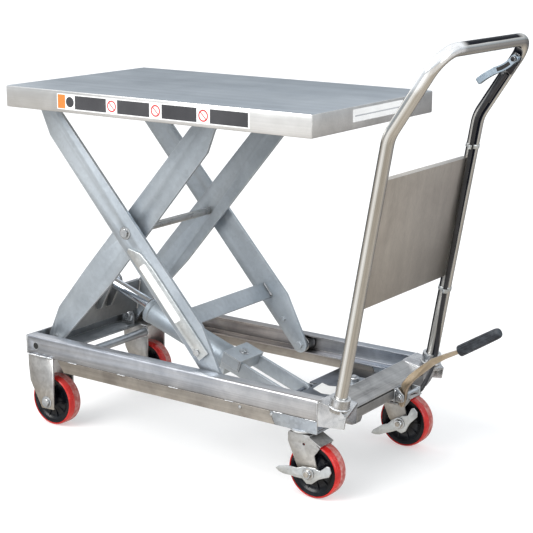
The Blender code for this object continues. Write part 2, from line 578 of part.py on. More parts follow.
node("centre_shaft", "inner_arms", GREASED, lathe(shaft, (CENTRE[0], 0, CENTRE[1]), (0, 1, 0), 16))
ear = [(0.0440, 0.2500), (0.0540, 0.3010)] + arc(*EYE, 0.0180, 140, -50, 8) + [(0.0700, 0.2600)]
node(
    "inner_cross_plate", "inner_arms", ZINC, prism([(0.0400, 0.2190), (0.0480, 0.2178), (0.0610, 0.3015), (0.0530, 0.3027)], -0.1416, 0.1416),
    add=[
        prism(ear, -0.0215, -0.0155), prism(ear, 0.0155, 0.0215),
        prism(hexagon(*EYE, 0.0100), -0.0275, -0.0205), prism(hexagon(*EYE, 0.0100), 0.0205, 0.0275),
    ],
)
node(
    "outer_tie_plate", "outer_arms", ZINC,
    prism([outer(0.2240, 0.0010), outer(0.2660, 0.0010), outer(0.2660, 0.0080), outer(0.2240, 0.0080)], -0.1667, 0.1667),
)
prop = [(0.5050, 0.2420), (0.5300, 0.2630), (0.3720, 0.4385), (0.3365, 0.4680), (0.3010, 0.4760), (0.2960, 0.4680)]
node("safety_prop", "prop", ZINC, prism(prop, -0.1815, -0.1757, holes=[circle(*PROP_PIVOT, 0.0054, 12)]))

# ---------------------------------------------------------------- hydraulic cylinder
way = Vector((RAM_DIR.x, 0, RAM_DIR.y))
barrel_at = xyz(on_ram(0.0, -BARREL_DROP), 0.0)
barrel = [
    (0.0, GLAND_AT), (0.0290, GLAND_AT), (0.0315, GLAND_AT + 0.0015), (0.0315, GLAND_AT + 0.0130), (0.0290, GLAND_AT + 0.0150),
    (0.0290, GLAND_AT + 0.0170), (BARREL_R, GLAND_AT + 0.0170), (BARREL_R, BARREL_END - 0.0015), (0.0285, BARREL_END), (0.0, BARREL_END),
]
node(
    "cylinder_barrel", "cylinder", STAINLESS, lathe(barrel, barrel_at, way, 32),
    cut=[rod(ROD_R + 0.0004, xyz(on_ram(0.100, 0), 0), xyz(on_ram(0.384, 0), 0), 24)],
)
bar = [on_ram(0.3988, -0.0175)] + [on_ram(0.3988, 0.0175), on_ram(RAM_LEN, 0.0175)]
bar += [on_ram(RAM_LEN + 0.0175 * math.cos(math.radians(a)), 0.0175 * math.sin(math.radians(a))) for a in (60, 30, 0, -30, -60)] + [on_ram(RAM_LEN, -0.0175)]
bolt = Vector(on_ram(0.4275, 0.0))
node(
    "cylinder_yoke", "cylinder", ZINC, prism(bar, -0.0420, -0.0340, holes=[circle(*YOKE_PIVOT, 0.0072, 14)]),
    add=[
        prism(bar, 0.0340, 0.0420, holes=[circle(*YOKE_PIVOT, 0.0072, 14)]),
        prism([on_ram(0.3984, -0.0380), on_ram(0.4110, -0.0380), on_ram(0.4110, 0.0165), on_ram(0.3984, 0.0165)], -0.0400, 0.0400),
        prism([on_ram(0.4050, 0.0160), on_ram(0.4500, 0.0160), on_ram(0.4500, 0.0210), on_ram(0.4050, 0.0210)], -0.0415, 0.0415),
        rod(0.0075, xyz(on_ram(0.4275, 0.0200), 0), xyz(on_ram(0.4275, 0.0265), 0), 6),
    ],
)
node(
    "piston_rod", "ram", CHROME, rod(ROD_R, xyz(on_ram(0.004, 0), 0), xyz(on_ram(ROD_END, 0), 0), 24),
    add=[prism(circle(*EYE, 0.0170, 20), -0.0142, 0.0142)],
    cut=[rod(0.0080, xyz(EYE, -0.02), xyz(EYE, 0.02), 14)],
)

# ---------------------------------------------------------------- platform
X0, X1, Y1 = PLATFORM_LEFT, PLATFORM_LEFT + PLATFORM_LEN, PLATFORM_WIDE / 2
tray = node("platform_tray", "platform", STAINLESS, box((X0, X1), (-Y1, Y1), (PLATFORM_TOP - PLATFORM_DEEP, PLATFORM_TOP)))
edge = tray.modifiers.new("rolled_edge", "BEVEL")
edge.width, edge.segments, edge.limit_method = 0.0030, 2, "ANGLE"
hollow = tray.modifiers.new("underside", "BOOLEAN")
hollow.operation, hollow.solver = "DIFFERENCE", "EXACT"
hollow.object = tool(box((X0 + SHEET, X1 - SHEET), (-Y1 + SHEET, Y1 - SHEET), (PLATFORM_TOP - PLATFORM_DEEP - 0.02, PLATFORM_TOP - SHEET)))
under = PLATFORM_TOP - SHEET - 0.0003
for side, sign in SIDES:
    cheekplate = arc(*TOP_PIVOT, 0.0130, 200, 340, 6) + [(0.0510, under), (0.0050, under)]
    node(
        f"platform_hinge_{side}", "platform", ZINC, prism(cheekplate, *span(sign, 0.1800, 0.1845)),
        add=[
            prism(cheekplate, *span(sign, 0.1572, 0.1622)),
            box((0.0058, 0.0502), span(sign, 0.1580, 0.1840), (under - 0.0034, under - 0.0002)),
            rod(0.0060, xyz(TOP_PIVOT, sign * 0.1560), xyz(TOP_PIVOT, sign * 0.1865), 12),
        ],
    )
    low = TOP_PIVOT[1] - UPPER_ROLLER_R - 0.0004
    track = [(0.1215, low - 0.0030), (0.1405, low - 0.0030), (0.1405, low), (0.1215, low), (0.1215, under), (0.1180, under), (0.1180, low - 0.0030)]
    node(f"platform_track_{side}", "platform", ZINC, prism([(sign * y, z) for y, z in track], 0.4350, 0.8460, "YZ"))

# ---------------------------------------------------------------- pedal, pump plunger, release lever
grip_dir = (Vector(GRIP_TO) - Vector(GRIP_FROM)).normalized()
spine = [Vector(PEDAL_PIVOT), Vector((0.9250, 0.2090)), Vector((0.9405, 0.2297)), Vector((0.9700, 0.2570)), Vector((0.9935, 0.2770)), Vector((1.0218, 0.2940))]
spine += [Vector(GRIP_FROM) - grip_dir * 0.0057, Vector(GRIP_FROM) + grip_dir * 0.0220]
deep = [0.0088, 0.0088, 0.0088, 0.0085, 0.0076, 0.0058, 0.0046, 0.0042]
upper_edge, lower_edge = [], []
for i, here in enumerate(spine):
    along = (spine[min(i + 1, len(spine) - 1)] - spine[max(i - 1, 0)]).normalized()
    lift = Vector((-along.y, along.x)) * deep[i]
    upper_edge.append(tuple(here + lift))
    lower_edge.append(tuple(here - lift))
foot = arc(*PEDAL_PIVOT, 0.0095, 140, 195, 2) + arc(PEDAL_PIVOT[0], 0.1625, 0.0055, 190, 350, 5) + arc(*PEDAL_PIVOT, 0.0095, -10, 10, 1)
outline = foot + lower_edge[1:] + list(reversed(upper_edge[1:]))
node("pedal_lever", "pedal", ZINC, prism(outline, *PEDAL_Y, holes=[circle(*PEDAL_PIVOT, 0.0049, 12)]))
grip_way = Vector((GRIP_TO[0] - GRIP_FROM[0], 0, GRIP_TO[1] - GRIP_FROM[1]))
g = grip_way.length
sleeve = [(0.0064, 0.0), (0.0122, 0.0), (0.0130, 0.0030), (0.0130, 0.0350), (0.0124, g - 0.0140), (0.0112, g - 0.0040), (0.0085, g), (0.0, g), (0.0, 0.0240), (0.0064, 0.0240)]
node("pedal_grip", "pedal", BLACK, lathe(sleeve, (GRIP_FROM[0], PY, GRIP_FROM[1]), grip_way, 24))
node("pump_plunger", "plunger", GREASED, rod(0.0040, (0.8280, PY, 0.1620), (0.9090, PY, 0.1620), 12))

run = [Vector(LEVER_PIVOT), Vector((1.0740, 0.9215)), Vector((1.0549, 0.9093)), Vector((1.0300, 0.8935)), Vector((1.0085, 0.8786))]


def lever_line(top, bottom, first=0):
    high, low_side = [], []
    for i in range(first, len(run)):
        along = (run[min(i + 1, len(run) - 1)] - run[max(i - 1, 0)]).normalized()
        lift = Vector((along.y, -along.x))
        high.append(tuple(run[i] + lift * top))
        low_side.append(tuple(run[i] - lift * bottom))
    return high + list(reversed(low_side))


node(
    "release_lever", "release", CHROME,
    prism(lever_line(0.0065, 0.0060), 0.1535, 0.1675),
    add=[rod(0.0085, xyz(LEVER_PIVOT, 0.1537), xyz(LEVER_PIVOT, 0.1673), 14)],
    cut=[prism(lever_line(0.0200, 0.0035, 1), 0.1555, 0.1655), rod(0.0034, xyz(LEVER_PIVOT, 0.1500), xyz(LEVER_PIVOT, 0.1700), 10)],
)

bpy.context.view_layer.update()
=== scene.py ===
import math
import random

import bmesh
import bpy
from mathutils import Matrix, Vector, noise


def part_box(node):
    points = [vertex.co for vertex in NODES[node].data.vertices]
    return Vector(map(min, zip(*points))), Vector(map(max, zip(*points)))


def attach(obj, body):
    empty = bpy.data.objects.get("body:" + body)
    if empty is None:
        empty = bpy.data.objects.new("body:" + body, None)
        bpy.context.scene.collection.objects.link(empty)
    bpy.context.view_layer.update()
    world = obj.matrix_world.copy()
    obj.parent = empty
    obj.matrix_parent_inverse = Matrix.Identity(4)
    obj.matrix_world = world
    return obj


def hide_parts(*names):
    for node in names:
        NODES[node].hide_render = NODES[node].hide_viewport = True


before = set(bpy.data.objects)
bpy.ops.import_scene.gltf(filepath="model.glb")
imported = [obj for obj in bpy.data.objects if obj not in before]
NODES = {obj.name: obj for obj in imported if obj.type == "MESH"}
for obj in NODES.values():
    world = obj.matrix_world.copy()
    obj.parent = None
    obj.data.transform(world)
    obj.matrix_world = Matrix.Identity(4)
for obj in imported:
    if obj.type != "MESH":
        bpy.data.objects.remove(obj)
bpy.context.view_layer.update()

SCENE = bpy.context.scene
X0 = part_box("base_rail_near")[0].x            # left end of the base rails, the datum that the table is laid out from


def at(x, y, z):
    return Vector((x + X0, y, z))


# ================================================================ materials
def new_material(name):
    made = bpy.data.materials.new(name)
    made.use_nodes = True
    made.node_tree.nodes.clear()
    return made, made.node_tree.nodes, made.node_tree.links


def ramp(nodes, links, value, stops):
    node = nodes.new("ShaderNodeValToRGB")
    elements = node.color_ramp.elements
    while len(elements) < len(stops):
        elements.new(0.5)
    for element, (position, colour) in zip(elements, stops):
        element.position = position
        element.color = (*colour, 1.0) if hasattr(colour, "__len__") else (colour, colour, colour, 1.0)
    links.new(value, node.inputs[0])
    return node.outputs["Color"]


def mapping(nodes, links, scale, rotation=(0, 0, 0), offset=(0, 0, 0)):
    coords = nodes.new("ShaderNodeTexCoord")
    made = nodes.new("ShaderNodeMapping")
    made.inputs["Scale"].default_value = scale
    made.inputs["Rotation"].default_value = rotation
    made.inputs["Location"].default_value = offset
    links.new(coords.outputs["Object"], made.inputs["Vector"])
    return made.outputs["Vector"]


def noise_tex(nodes, links, vector, scale, detail=4.0, rough=0.55, distortion=0.0):
    made = nodes.new("ShaderNodeTexNoise")
    made.inputs["Scale"].default_value = scale
    made.inputs["Detail"].default_value = detail
    made.inputs["Roughness"].default_value = rough
    made.inputs["Distortion"].default_value = distortion
    links.new(vector, made.inputs["Vector"])
    return made.outputs["Fac"]


def math_node(nodes, links, operation, a, b=None, c=None, clamp=False):
    made = nodes.new("ShaderNodeMath")
    made.operation = operation
    made.use_clamp = clamp
    for i, value in enumerate((a, b, c)):
        if value is None:
            continue
        if isinstance(value, (int, float)):
            made.inputs[i].default_value = value
        else:
            links.new(value, made.inputs[i])
    return made.outputs[0]


def mix_colour(nodes, links, factor, a, b, blend="MIX"):
    made = nodes.new("ShaderNodeMix")
    made.data_type = "RGBA"
    made.blend_type = blend
    for socket, value in ((made.inputs[0], factor), (made.inputs[6], a), (made.inputs[7], b)):
        if isinstance(value, (int, float)):
            socket.default_value = value
        elif hasattr(value, "__len__"):
            socket.default_value = (*value[:3], 1.0)
        else:
            links.new(value, socket)
    return made.outputs[2]


def metal(name, low, high, rough=(0.28, 0.42), metallic=0.9, brush=None, brush_amount=0.25, mottle=18.0, mottle_mix=0.6,
          spangle=0.0, spangle_scale=90.0, bump=0.12, grime=0.25, corner_shade_colour=(0.10, 0.09, 0.08), tint=None, edge=0.35, aniso=0.0):
    """Steel with a cloudy surface, fine brushing or zinc flowers, painted shade in the corners and bright edges that
    are partly wear and partly a painted highlight.
    """
    made, nodes, links = new_material(name)
    out = nodes.new("ShaderNodeOutputMaterial")
    shader = nodes.new("ShaderNodeBsdfPrincipled")
    links.new(shader.outputs[0], out.inputs[0])
    plain = mapping(nodes, links, (1, 1, 1))
    cloud = noise_tex(nodes, links, plain, mottle, 6.0, 0.62, 0.4)
    blotch = noise_tex(nodes, links, plain, mottle * 0.22, 2.0, 0.5)
    both = math_node(nodes, links, "ADD", math_node(nodes, links, "MULTIPLY", cloud, mottle_mix), math_node(nodes, links, "MULTIPLY", blotch, 1.0 - mottle_mix))
    colour = ramp(nodes, links, both, [(0.34, low), (0.66, high)])
    height = math_node(nodes, links, "MULTIPLY", cloud, 0.5)
    rough_value = math_node(nodes, links, "MULTIPLY_ADD", cloud, (rough[1] - rough[0]) * 1.6, rough[0] - (rough[1] - rough[0]) * 0.3)
    if brush:
        stretch = {"x": (2.0, 420.0, 420.0), "y": (420.0, 2.0, 420.0), "z": (420.0, 420.0, 2.0)}[brush]
        lines = noise_tex(nodes, links, mapping(nodes, links, stretch), 1.0, 3.0, 0.7)
        wide = noise_tex(nodes, links, mapping(nodes, links, tuple(s * 0.12 for s in stretch)), 1.0, 2.0, 0.5)
        streak = math_node(nodes, links, "ADD", math_node(nodes, links, "MULTIPLY", lines, 0.6), math_node(nodes, links, "MULTIPLY", wide, 0.4))
        tone = ramp(nodes, links, streak, [(0.3, 1.0 - brush_amount), (0.7, 1.0)])
        colour = mix_colour(nodes, links, 1.0, colour, tone, "MULTIPLY")
        height = math_node(nodes, links, "ADD", height, math_node(nodes, links, "MULTIPLY", streak, 0.8))
        rough_value = math_node(nodes, links, "MULTIPLY_ADD", streak, 0.10, rough_value)
    if spangle > 0.0:
        cells = nodes.new("ShaderNodeTexVoronoi")
        cells.inputs["Scale"].default_value = spangle_scale
        cells.inputs["Randomness"].default_value = 1.0
        links.new(plain, cells.inputs["Vector"])
        grey = nodes.new("ShaderNodeSeparateColor")
        links.new(cells.outputs["Color"], grey.inputs[0])
        tone = ramp(nodes, links, grey.outputs[0], [(0.0, 1.0 - spangle), (1.0, 1.0)])
        colour = mix_colour(nodes, links, 1.0, colour, tone, "MULTIPLY")
        rough_value = math_node(nodes, links, "MULTIPLY_ADD", grey.outputs[1], spangle * 0.35, rough_value)
    # painted shade darkens the colour where surfaces meet, found by an occlusion node, and edges are brightened, partly
    # as wear and partly as a painted highlight
    if grime > 0.0:
        hollow = nodes.new("ShaderNodeAmbientOcclusion")
        hollow.samples = 4
        hollow.inputs["Distance"].default_value = 0.016
        shade = ramp(nodes, links, hollow.outputs["AO"], [(0.25, 0.0), (0.9, 1.0)])
        factor = math_node(nodes, links, "MULTIPLY", math_node(nodes, links, "SUBTRACT", 1.0, shade), grime)
        factor = math_node(nodes, links, "MULTIPLY", factor, math_node(nodes, links, "MULTIPLY_ADD", cloud, 1.4, 0.3), clamp=True)
        colour = mix_colour(nodes, links, factor, colour, corner_shade_colour)
    # bright edges, partly wear and partly a painted highlight: whitened where the rounded normal turns away from the
    # face normal
    if edge > 0.0:
        rounded = nodes.new("ShaderNodeBevel")
        rounded.samples = 4
        rounded.inputs["Radius"].default_value = 0.0020
        geometry = nodes.new("ShaderNodeNewGeometry")
        dot = nodes.new("ShaderNodeVectorMath")
        dot.operation = "DOT_PRODUCT"
        links.new(rounded.outputs[0], dot.inputs[0])
        links.new(geometry.outputs["Normal"], dot.inputs[1])
        worn_and_lit_edge = ramp(nodes, links, dot.outputs["Value"], [(0.86, 1.0), (0.985, 0.0)])
        factor = math_node(nodes, links, "MULTIPLY", worn_and_lit_edge, math_node(nodes, links, "MULTIPLY_ADD", cloud, edge * 1.2, edge * 0.3), clamp=True)
        colour = mix_colour(nodes, links, factor, colour, (0.93, 0.94, 0.95))
    if tint is not None:
        # a slow change of colour along one direction: (axis, from, to, colour)
        axis, start, stop, hue = tint
        coords = nodes.new("ShaderNodeTexCoord")
        split = nodes.new("ShaderNodeSeparateXYZ")
        links.new(coords.outputs["Object"], split.inputs[0])
        span = nodes.new("ShaderNodeMapRange")
        span.inputs["From Min"].default_value = start
        span.inputs["From Max"].default_value = stop
        links.new(split.outputs["XYZ".index(axis.upper())], span.inputs["Value"])
        colour = mix_colour(nodes, links, span.outputs[0], colour, mix_colour(nodes, links, 1.0, colour, hue, "MULTIPLY"))
    relief = nodes.new("ShaderNodeBump")
    relief.inputs["Strength"].default_value = bump
    relief.inputs["Distance"].default_value = 0.0008
    links.new(height, relief.inputs["Height"])
    links.new(relief.outputs[0], shader.inputs["Normal"])
    links.new(colour, shader.inputs["Base Color"])
    links.new(math_node(nodes, links, "MAXIMUM", rough_value, 0.06), shader.inputs["Roughness"])
    shader.inputs["Metallic"].default_value = metallic
    if aniso and "Anisotropic" in shader.inputs:
        shader.inputs["Anisotropic"].default_value = aniso
    made.diffuse_color = (*high, 1.0)
    return made


def plastic(name, low, high, rough=0.4, grain=600.0, bump=0.1, mottle=30.0, coat=0.0, dust=0.0, dust_colour=(0.5, 0.48, 0.45), spec=0.5):
    """Moulded plastic or rubber with a fine grain and a little dust."""
    made, nodes, links = new_material(name)
    out = nodes.new("ShaderNodeOutputMaterial")
    shader = nodes.new("ShaderNodeBsdfPrincipled")
    links.new(shader.outputs[0], out.inputs[0])
    plain = mapping(nodes, links, (1, 1, 1))
    cloud = noise_tex(nodes, links, plain, mottle, 5.0, 0.6)
    fine = noise_tex(nodes, links, plain, grain, 2.0, 0.6)
    colour = ramp(nodes, links, cloud, [(0.35, low), (0.65, high)])
    if dust > 0.0:
        factor = math_node(nodes, links, "MULTIPLY", ramp(nodes, links, cloud, [(0.45, 0.0), (0.75, 1.0)]), dust)
        colour = mix_colour(nodes, links, factor, colour, dust_colour)
    links.new(colour, shader.inputs["Base Color"])
    links.new(math_node(nodes, links, "MULTIPLY_ADD", cloud, 0.16, rough - 0.08), shader.inputs["Roughness"])
    relief = nodes.new("ShaderNodeBump")
    relief.inputs["Strength"].default_value = bump
    relief.inputs["Distance"].default_value = 0.0004
    links.new(fine, relief.inputs["Height"])
    links.new(relief.outputs[0], shader.inputs["Normal"])
    shader.inputs["Coat Weight"].default_value = coat
    shader.inputs["Specular IOR Level"].default_value = spec
    made.diffuse_color = (*high, 1.0)
    return made


TOP = metal("steel_platform", (0.40, 0.45, 0.50), (0.60, 0.65, 0.70), (0.24, 0.34), 0.90, "x", 0.26, 7.0, 0.5, bump=0.06, grime=0.0, edge=0.9)
# a lighter copy of the platform steel for the tray's side faces: painted light
SKIRT_LIT = metal("steel_skirt", (0.70, 0.69, 0.67), (0.92, 0.91, 0.90), (0.24, 0.38), 0.85, "x", 0.16, 12.0, 0.5, bump=0.05, grime=0.15, edge=0.9)
# the rail steel turns warmer towards its right end: a painted reflection tone
RAIL = metal("steel_rail", (0.52, 0.55, 0.61), (0.88, 0.90, 0.95), (0.22, 0.36), 0.92, "x", 0.40, 12.0, 0.6, spangle=0.06, bump=0.08, grime=0.60, edge=0.7,
             tint=("x", -0.25, 0.45, (0.97, 0.92, 0.86)))
CHANNEL = metal("brushed_channel", (0.30, 0.305, 0.31), (0.70, 0.70, 0.70), (0.22, 0.36), 0.94, "y", 0.50, 26.0, 0.5, bump=0.14, grime=0.55, edge=0.9)
# a darker, bluer copy of the rail steel for the far rail: painted shade, and its warmer tone towards its left end is a
# painted reflection
RAIL_SHADED = metal("steel_rail_far", (0.27, 0.30, 0.35), (0.62, 0.67, 0.75), (0.20, 0.34), 0.94, "x", 0.42, 12.0, 0.6, spangle=0.06, bump=0.08, grime=0.60, edge=0.8,
                 tint=("x", 0.20, -0.15, (1.0, 0.86, 0.74)))
SOCKET = metal("steel_socket", (0.42, 0.43, 0.45), (0.92, 0.92, 0.92), (0.14, 0.28), 0.96, None, 0.0, 34.0, 0.5, bump=0.22, grime=0.60, edge=1.0)
# a darker copy of the zinc plate for the inner cross plate, which sits in shade: painted shade
CROSS_SHADED = metal("zinc_cross", (0.20, 0.21, 0.22), (0.46, 0.48, 0.50), (0.34, 0.48), 0.80, None, 0.0, 8.0, 0.45, spangle=0.08, bump=0.08, grime=0.55, edge=0.9)
END_PLATE = metal("steel_end_plate", (0.22, 0.24, 0.26), (0.52, 0.55, 0.58), (0.24, 0.38), 0.92, "y", 0.34, 14.0, 0.6, bump=0.10, grime=0.65, edge=0.9)
STIFF = metal("steel_stiffener", (0.30, 0.27, 0.24), (0.58, 0.53, 0.47), (0.28, 0.42), 0.88, "x", 0.30, 18.0, 0.6, bump=0.07, grime=0.65, edge=0.6)
ARM = metal("zinc_arm", (0.40, 0.445, 0.49), (0.64, 0.695, 0.745), (0.38, 0.52), 0.78, None, 0.0, 9.0, 0.42, spangle=0.08, spangle_scale=120.0, bump=0.08, grime=0.40, edge=0.95)
PLATE = metal("zinc_plate", (0.36, 0.39, 0.43), (0.64, 0.69, 0.74), (0.30, 0.44), 0.86, None, 0.0, 24.0, 0.6, spangle=0.16, spangle_scale=150.0, bump=0.12, grime=0.55, edge=0.9)
FORK = metal("zinc_fork", (0.40, 0.39, 0.38), (0.68, 0.68, 0.67), (0.30, 0.44), 0.86, None, 0.0, 26.0, 0.6, spangle=0.16, spangle_scale=150.0, bump=0.12, grime=0.55, edge=0.9,
             tint=("z", 0.12, 0.03, (0.98, 0.88, 0.74)))
BRAKE = metal("zinc_brake", (0.56, 0.59, 0.60), (0.84, 0.86, 0.86), (0.28, 0.40), 0.88, None, 0.0, 36.0, 0.6, spangle=0.12, spangle_scale=200.0, bump=0.12, grime=0.40, edge=0.8)
TUBE = metal("polished_tube", (0.74, 0.71, 0.66), (0.88, 0.87, 0.84), (0.08, 0.15), 1.0, "z", 0.08, 10.0, 0.5, bump=0.02, grime=0.0, edge=0.0)
PANEL = metal("steel_panel", (0.54, 0.49, 0.44), (0.84, 0.79, 0.72), (0.24, 0.34), 0.92, "z", 0.22, 7.0, 0.45, bump=0.06, grime=0.15, edge=1.0)
CHROME = metal("chrome_rod", (0.58, 0.61, 0.66), (0.74, 0.78, 0.83), (0.07, 0.12), 1.0, None, 0.0, 30.0, 0.5, bump=0.01, grime=0.0, edge=0.0)
BARREL = metal("zinc_barrel", (0.33, 0.38, 0.43), (0.52, 0.58, 0.63), (0.40, 0.54), 0.62, None, 0.0, 10.0, 0.5, spangle=0.06, bump=0.06, grime=0.35, edge=0.5)
DECK = metal("steel_deck", (0.13, 0.15, 0.18), (0.30, 0.32, 0.36), (0.26, 0.40), 0.90, "y", 0.22, 12.0, 0.6, bump=0.08, grime=0.3, edge=0.7)
LEVER = metal("bronze_lever", (0.34, 0.26, 0.17), (0.58, 0.48, 0.36), (0.28, 0.40), 0.90, None, 0.0, 30.0, 0.6, bump=0.08, grime=0.3, edge=0.95)
BLUED = metal("blued_zinc", (0.26, 0.33, 0.40), (0.56, 0.66, 0.75), (0.20, 0.32), 0.92, None, 0.0, 40.0, 0.6, bump=0.08, grime=0.6, edge=0.0)
PLATE_SOFT = metal("zinc_round", (0.32, 0.35, 0.38), (0.58, 0.62, 0.66), (0.26, 0.38), 0.9, None, 0.0, 24.0, 0.6, bump=0.08, grime=0.5, edge=0.0)
BOLT = metal("steel_bolt", (0.42, 0.44, 0.46), (0.80, 0.81, 0.82), (0.18, 0.32), 0.96, None, 0.0, 60.0, 0.6, bump=0.12, grime=0.65, edge=0.0)
TURNED = metal("turned_steel", (0.40, 0.40, 0.40), (0.68, 0.68, 0.67), (0.18, 0.30), 0.96, "y", 0.18, 40.0, 0.6, bump=0.06, grime=0.4, edge=0.0)
WELD = metal("weld_bead", (0.48, 0.50, 0.52), (0.92, 0.93, 0.95), (0.26, 0.46), 0.88, None, 0.0, 120.0, 0.7, bump=0.40, grime=0.55, edge=0.0)
PU = plastic("red_tyre", (0.40, 0.008, 0.008), (0.60, 0.016, 0.011), 0.26, 900.0, 0.05, 24.0, coat=0.20, dust=0.05, dust_colour=(0.55, 0.25, 0.22))
TREAD = plastic("worn_tread", (0.36, 0.060, 0.050), (0.50, 0.17, 0.15), 0.55, 500.0, 0.35, 110.0, dust=0.55, dust_colour=(0.50, 0.40, 0.38))
BLACK = plastic("black_hub", (0.002, 0.002, 0.003), (0.006, 0.007, 0.010), 0.24, 700.0, 0.12, 40.0, coat=0.10, dust=0.05, dust_colour=(0.08, 0.10, 0.15), spec=0.30)
GRIP = plastic("black_grip", (0.012, 0.015, 0.021), (0.032, 0.038, 0.048), 0.46, 800.0, 0.3, 60.0, dust=0.25, dust_colour=(0.16, 0.18, 0.20))
CABLE = plastic("cable_sheath", (0.008, 0.008, 0.010), (0.018, 0.018, 0.022), 0.30, 900.0, 0.1, 50.0, coat=0.3)
LABEL = plastic("label_white", (0.82, 0.82, 0.81), (0.92, 0.92, 0.91), 0.40, 400.0, 0.03, 10.0)
INK = plastic("label_ink", (0.035, 0.035, 0.04), (0.06, 0.06, 0.065), 0.45, 400.0, 0.03, 10.0)
GREY_INK = plastic("label_grey", (0.40, 0.41, 0.43), (0.50, 0.51, 0.53), 0.45, 400.0, 0.03, 10.0)
RED_INK = plastic("label_red", (0.52, 0.02, 0.02), (0.62, 0.03, 0.03), 0.45, 400.0, 0.03, 10.0)
ORANGE_INK = plastic("label_orange", (0.72, 0.19, 0.03), (0.80, 0.24, 0.04), 0.45, 400.0, 0.03, 10.0)
SHADOWED = metal("dark_steel", (0.020, 0.020, 0.022), (0.060, 0.060, 0.066), (0.26, 0.38), 0.85, None, 0.0, 24.0, 0.6, bump=0.06, grime=0.3, edge=1.0)
# near-black used only as painted shade, in holes, a gap, a channel and a slot
SHADE_BLACK = plastic("dark_hollow", (0.008, 0.008, 0.008), (0.02, 0.02, 0.02), 0.6, 300.0, 0.1, 40.0)



def tube_with_painted_reflections(base_look):
    """The bent tube with painted reflections: its upper side and the inner side of the far leg are painted dark, a
    painted reflection of the dark table that polished tube mirrors, and the open side of the near leg's upper end is
    painted white, a painted highlight.
    """
    nodes, links = base_look.node_tree.nodes, base_look.node_tree.links
    shader = next(n for n in nodes if n.type == "BSDF_PRINCIPLED")
    socket = shader.inputs["Base Color"]
    colour = socket.links[0].from_socket
    geometry = nodes.new("ShaderNodeNewGeometry")
    facing = nodes.new("ShaderNodeSeparateXYZ")
    links.new(geometry.outputs["Normal"], facing.inputs[0])
    coords = nodes.new("ShaderNodeTexCoord")
    where = nodes.new("ShaderNodeSeparateXYZ")
    links.new(coords.outputs["Object"], where.inputs[0])
    wave = math_node(nodes, links, "MULTIPLY_ADD", noise_tex(nodes, links, mapping(nodes, links, (6.0, 6.0, 6.0)), 1.0, 2.0, 0.5), 0.24, -0.12)
    far = ramp(nodes, links, where.outputs["Y"], [(0.10, 0.0), (0.17, 1.0)])
    inner = ramp(nodes, links, math_node(nodes, links, "MULTIPLY_ADD", math_node(nodes, links, "ADD", facing.outputs["Y"], wave), 0.5, 0.5), [(0.0, 0.35), (0.06, 1.0), (0.20, 1.0), (0.30, 0.0)])
    high = ramp(nodes, links, where.outputs["Z"], [(0.945, 0.0), (0.968, 1.0)])
    bar = ramp(nodes, links, math_node(nodes, links, "MULTIPLY_ADD", where.outputs["Y"], 0.5, 0.5), [(0.434, 0.0), (0.446, 1.0), (0.560, 1.0), (0.574, 0.0)])
    upper = ramp(nodes, links, math_node(nodes, links, "ADD", facing.outputs["Z"], wave), [(0.44, 0.0), (0.52, 1.0), (1.0, 1.0)])
    # painted reflection: the mask of the dark bands
    dark = math_node(nodes, links, "MAXIMUM", math_node(nodes, links, "MULTIPLY", far, inner), math_node(nodes, links, "MULTIPLY", math_node(nodes, links, "MULTIPLY", high, bar), upper))
    near = ramp(nodes, links, math_node(nodes, links, "MULTIPLY", where.outputs["Y"], -1.0), [(0.116, 0.0), (0.134, 1.0)])
    low_end = ramp(nodes, links, math_node(nodes, links, "MULTIPLY_ADD", wave, 0.10, where.outputs["Z"]), [(0.888, 0.0), (0.905, 1.0)])
    open_side = ramp(nodes, links, math_node(nodes, links, "MULTIPLY_ADD", math_node(nodes, links, "ADD", facing.outputs["Z"], wave), 0.5, 0.5), [(0.30, 0.0), (0.38, 1.0)])
    rim = ramp(nodes, links, math_node(nodes, links, "MULTIPLY_ADD", facing.outputs["X"], 0.5, 0.5), [(0.150, 0.0), (0.200, 1.0)])
    open_side = math_node(nodes, links, "MULTIPLY", open_side, rim)
    # painted highlight: the mask of the white patch on the near leg
    painted_highlight = math_node(nodes, links, "MULTIPLY", math_node(nodes, links, "MULTIPLY", near, low_end), open_side, clamp=True)
    # painted reflection and painted highlight: near-black on the dark mask, white on the highlight mask
    links.new(mix_colour(nodes, links, math_node(nodes, links, "MULTIPLY", dark, 1.0, clamp=True), mix_colour(nodes, links, painted_highlight, colour, (1.0, 1.0, 1.0)), (0.006, 0.007, 0.011)), socket)
    # metallic and specular drop where the painted reflection and painted highlight are, so their painted colour shows
    keep = math_node(nodes, links, "MULTIPLY_ADD", math_node(nodes, links, "MAXIMUM", dark, math_node(nodes, links, "MULTIPLY", painted_highlight, 0.22)), -0.98, 1.0, clamp=True)
    links.new(keep, shader.inputs["Metallic"])
    links.new(math_node(nodes, links, "MULTIPLY", keep, 0.5), shader.inputs["Specular IOR Level"])
    return base_look


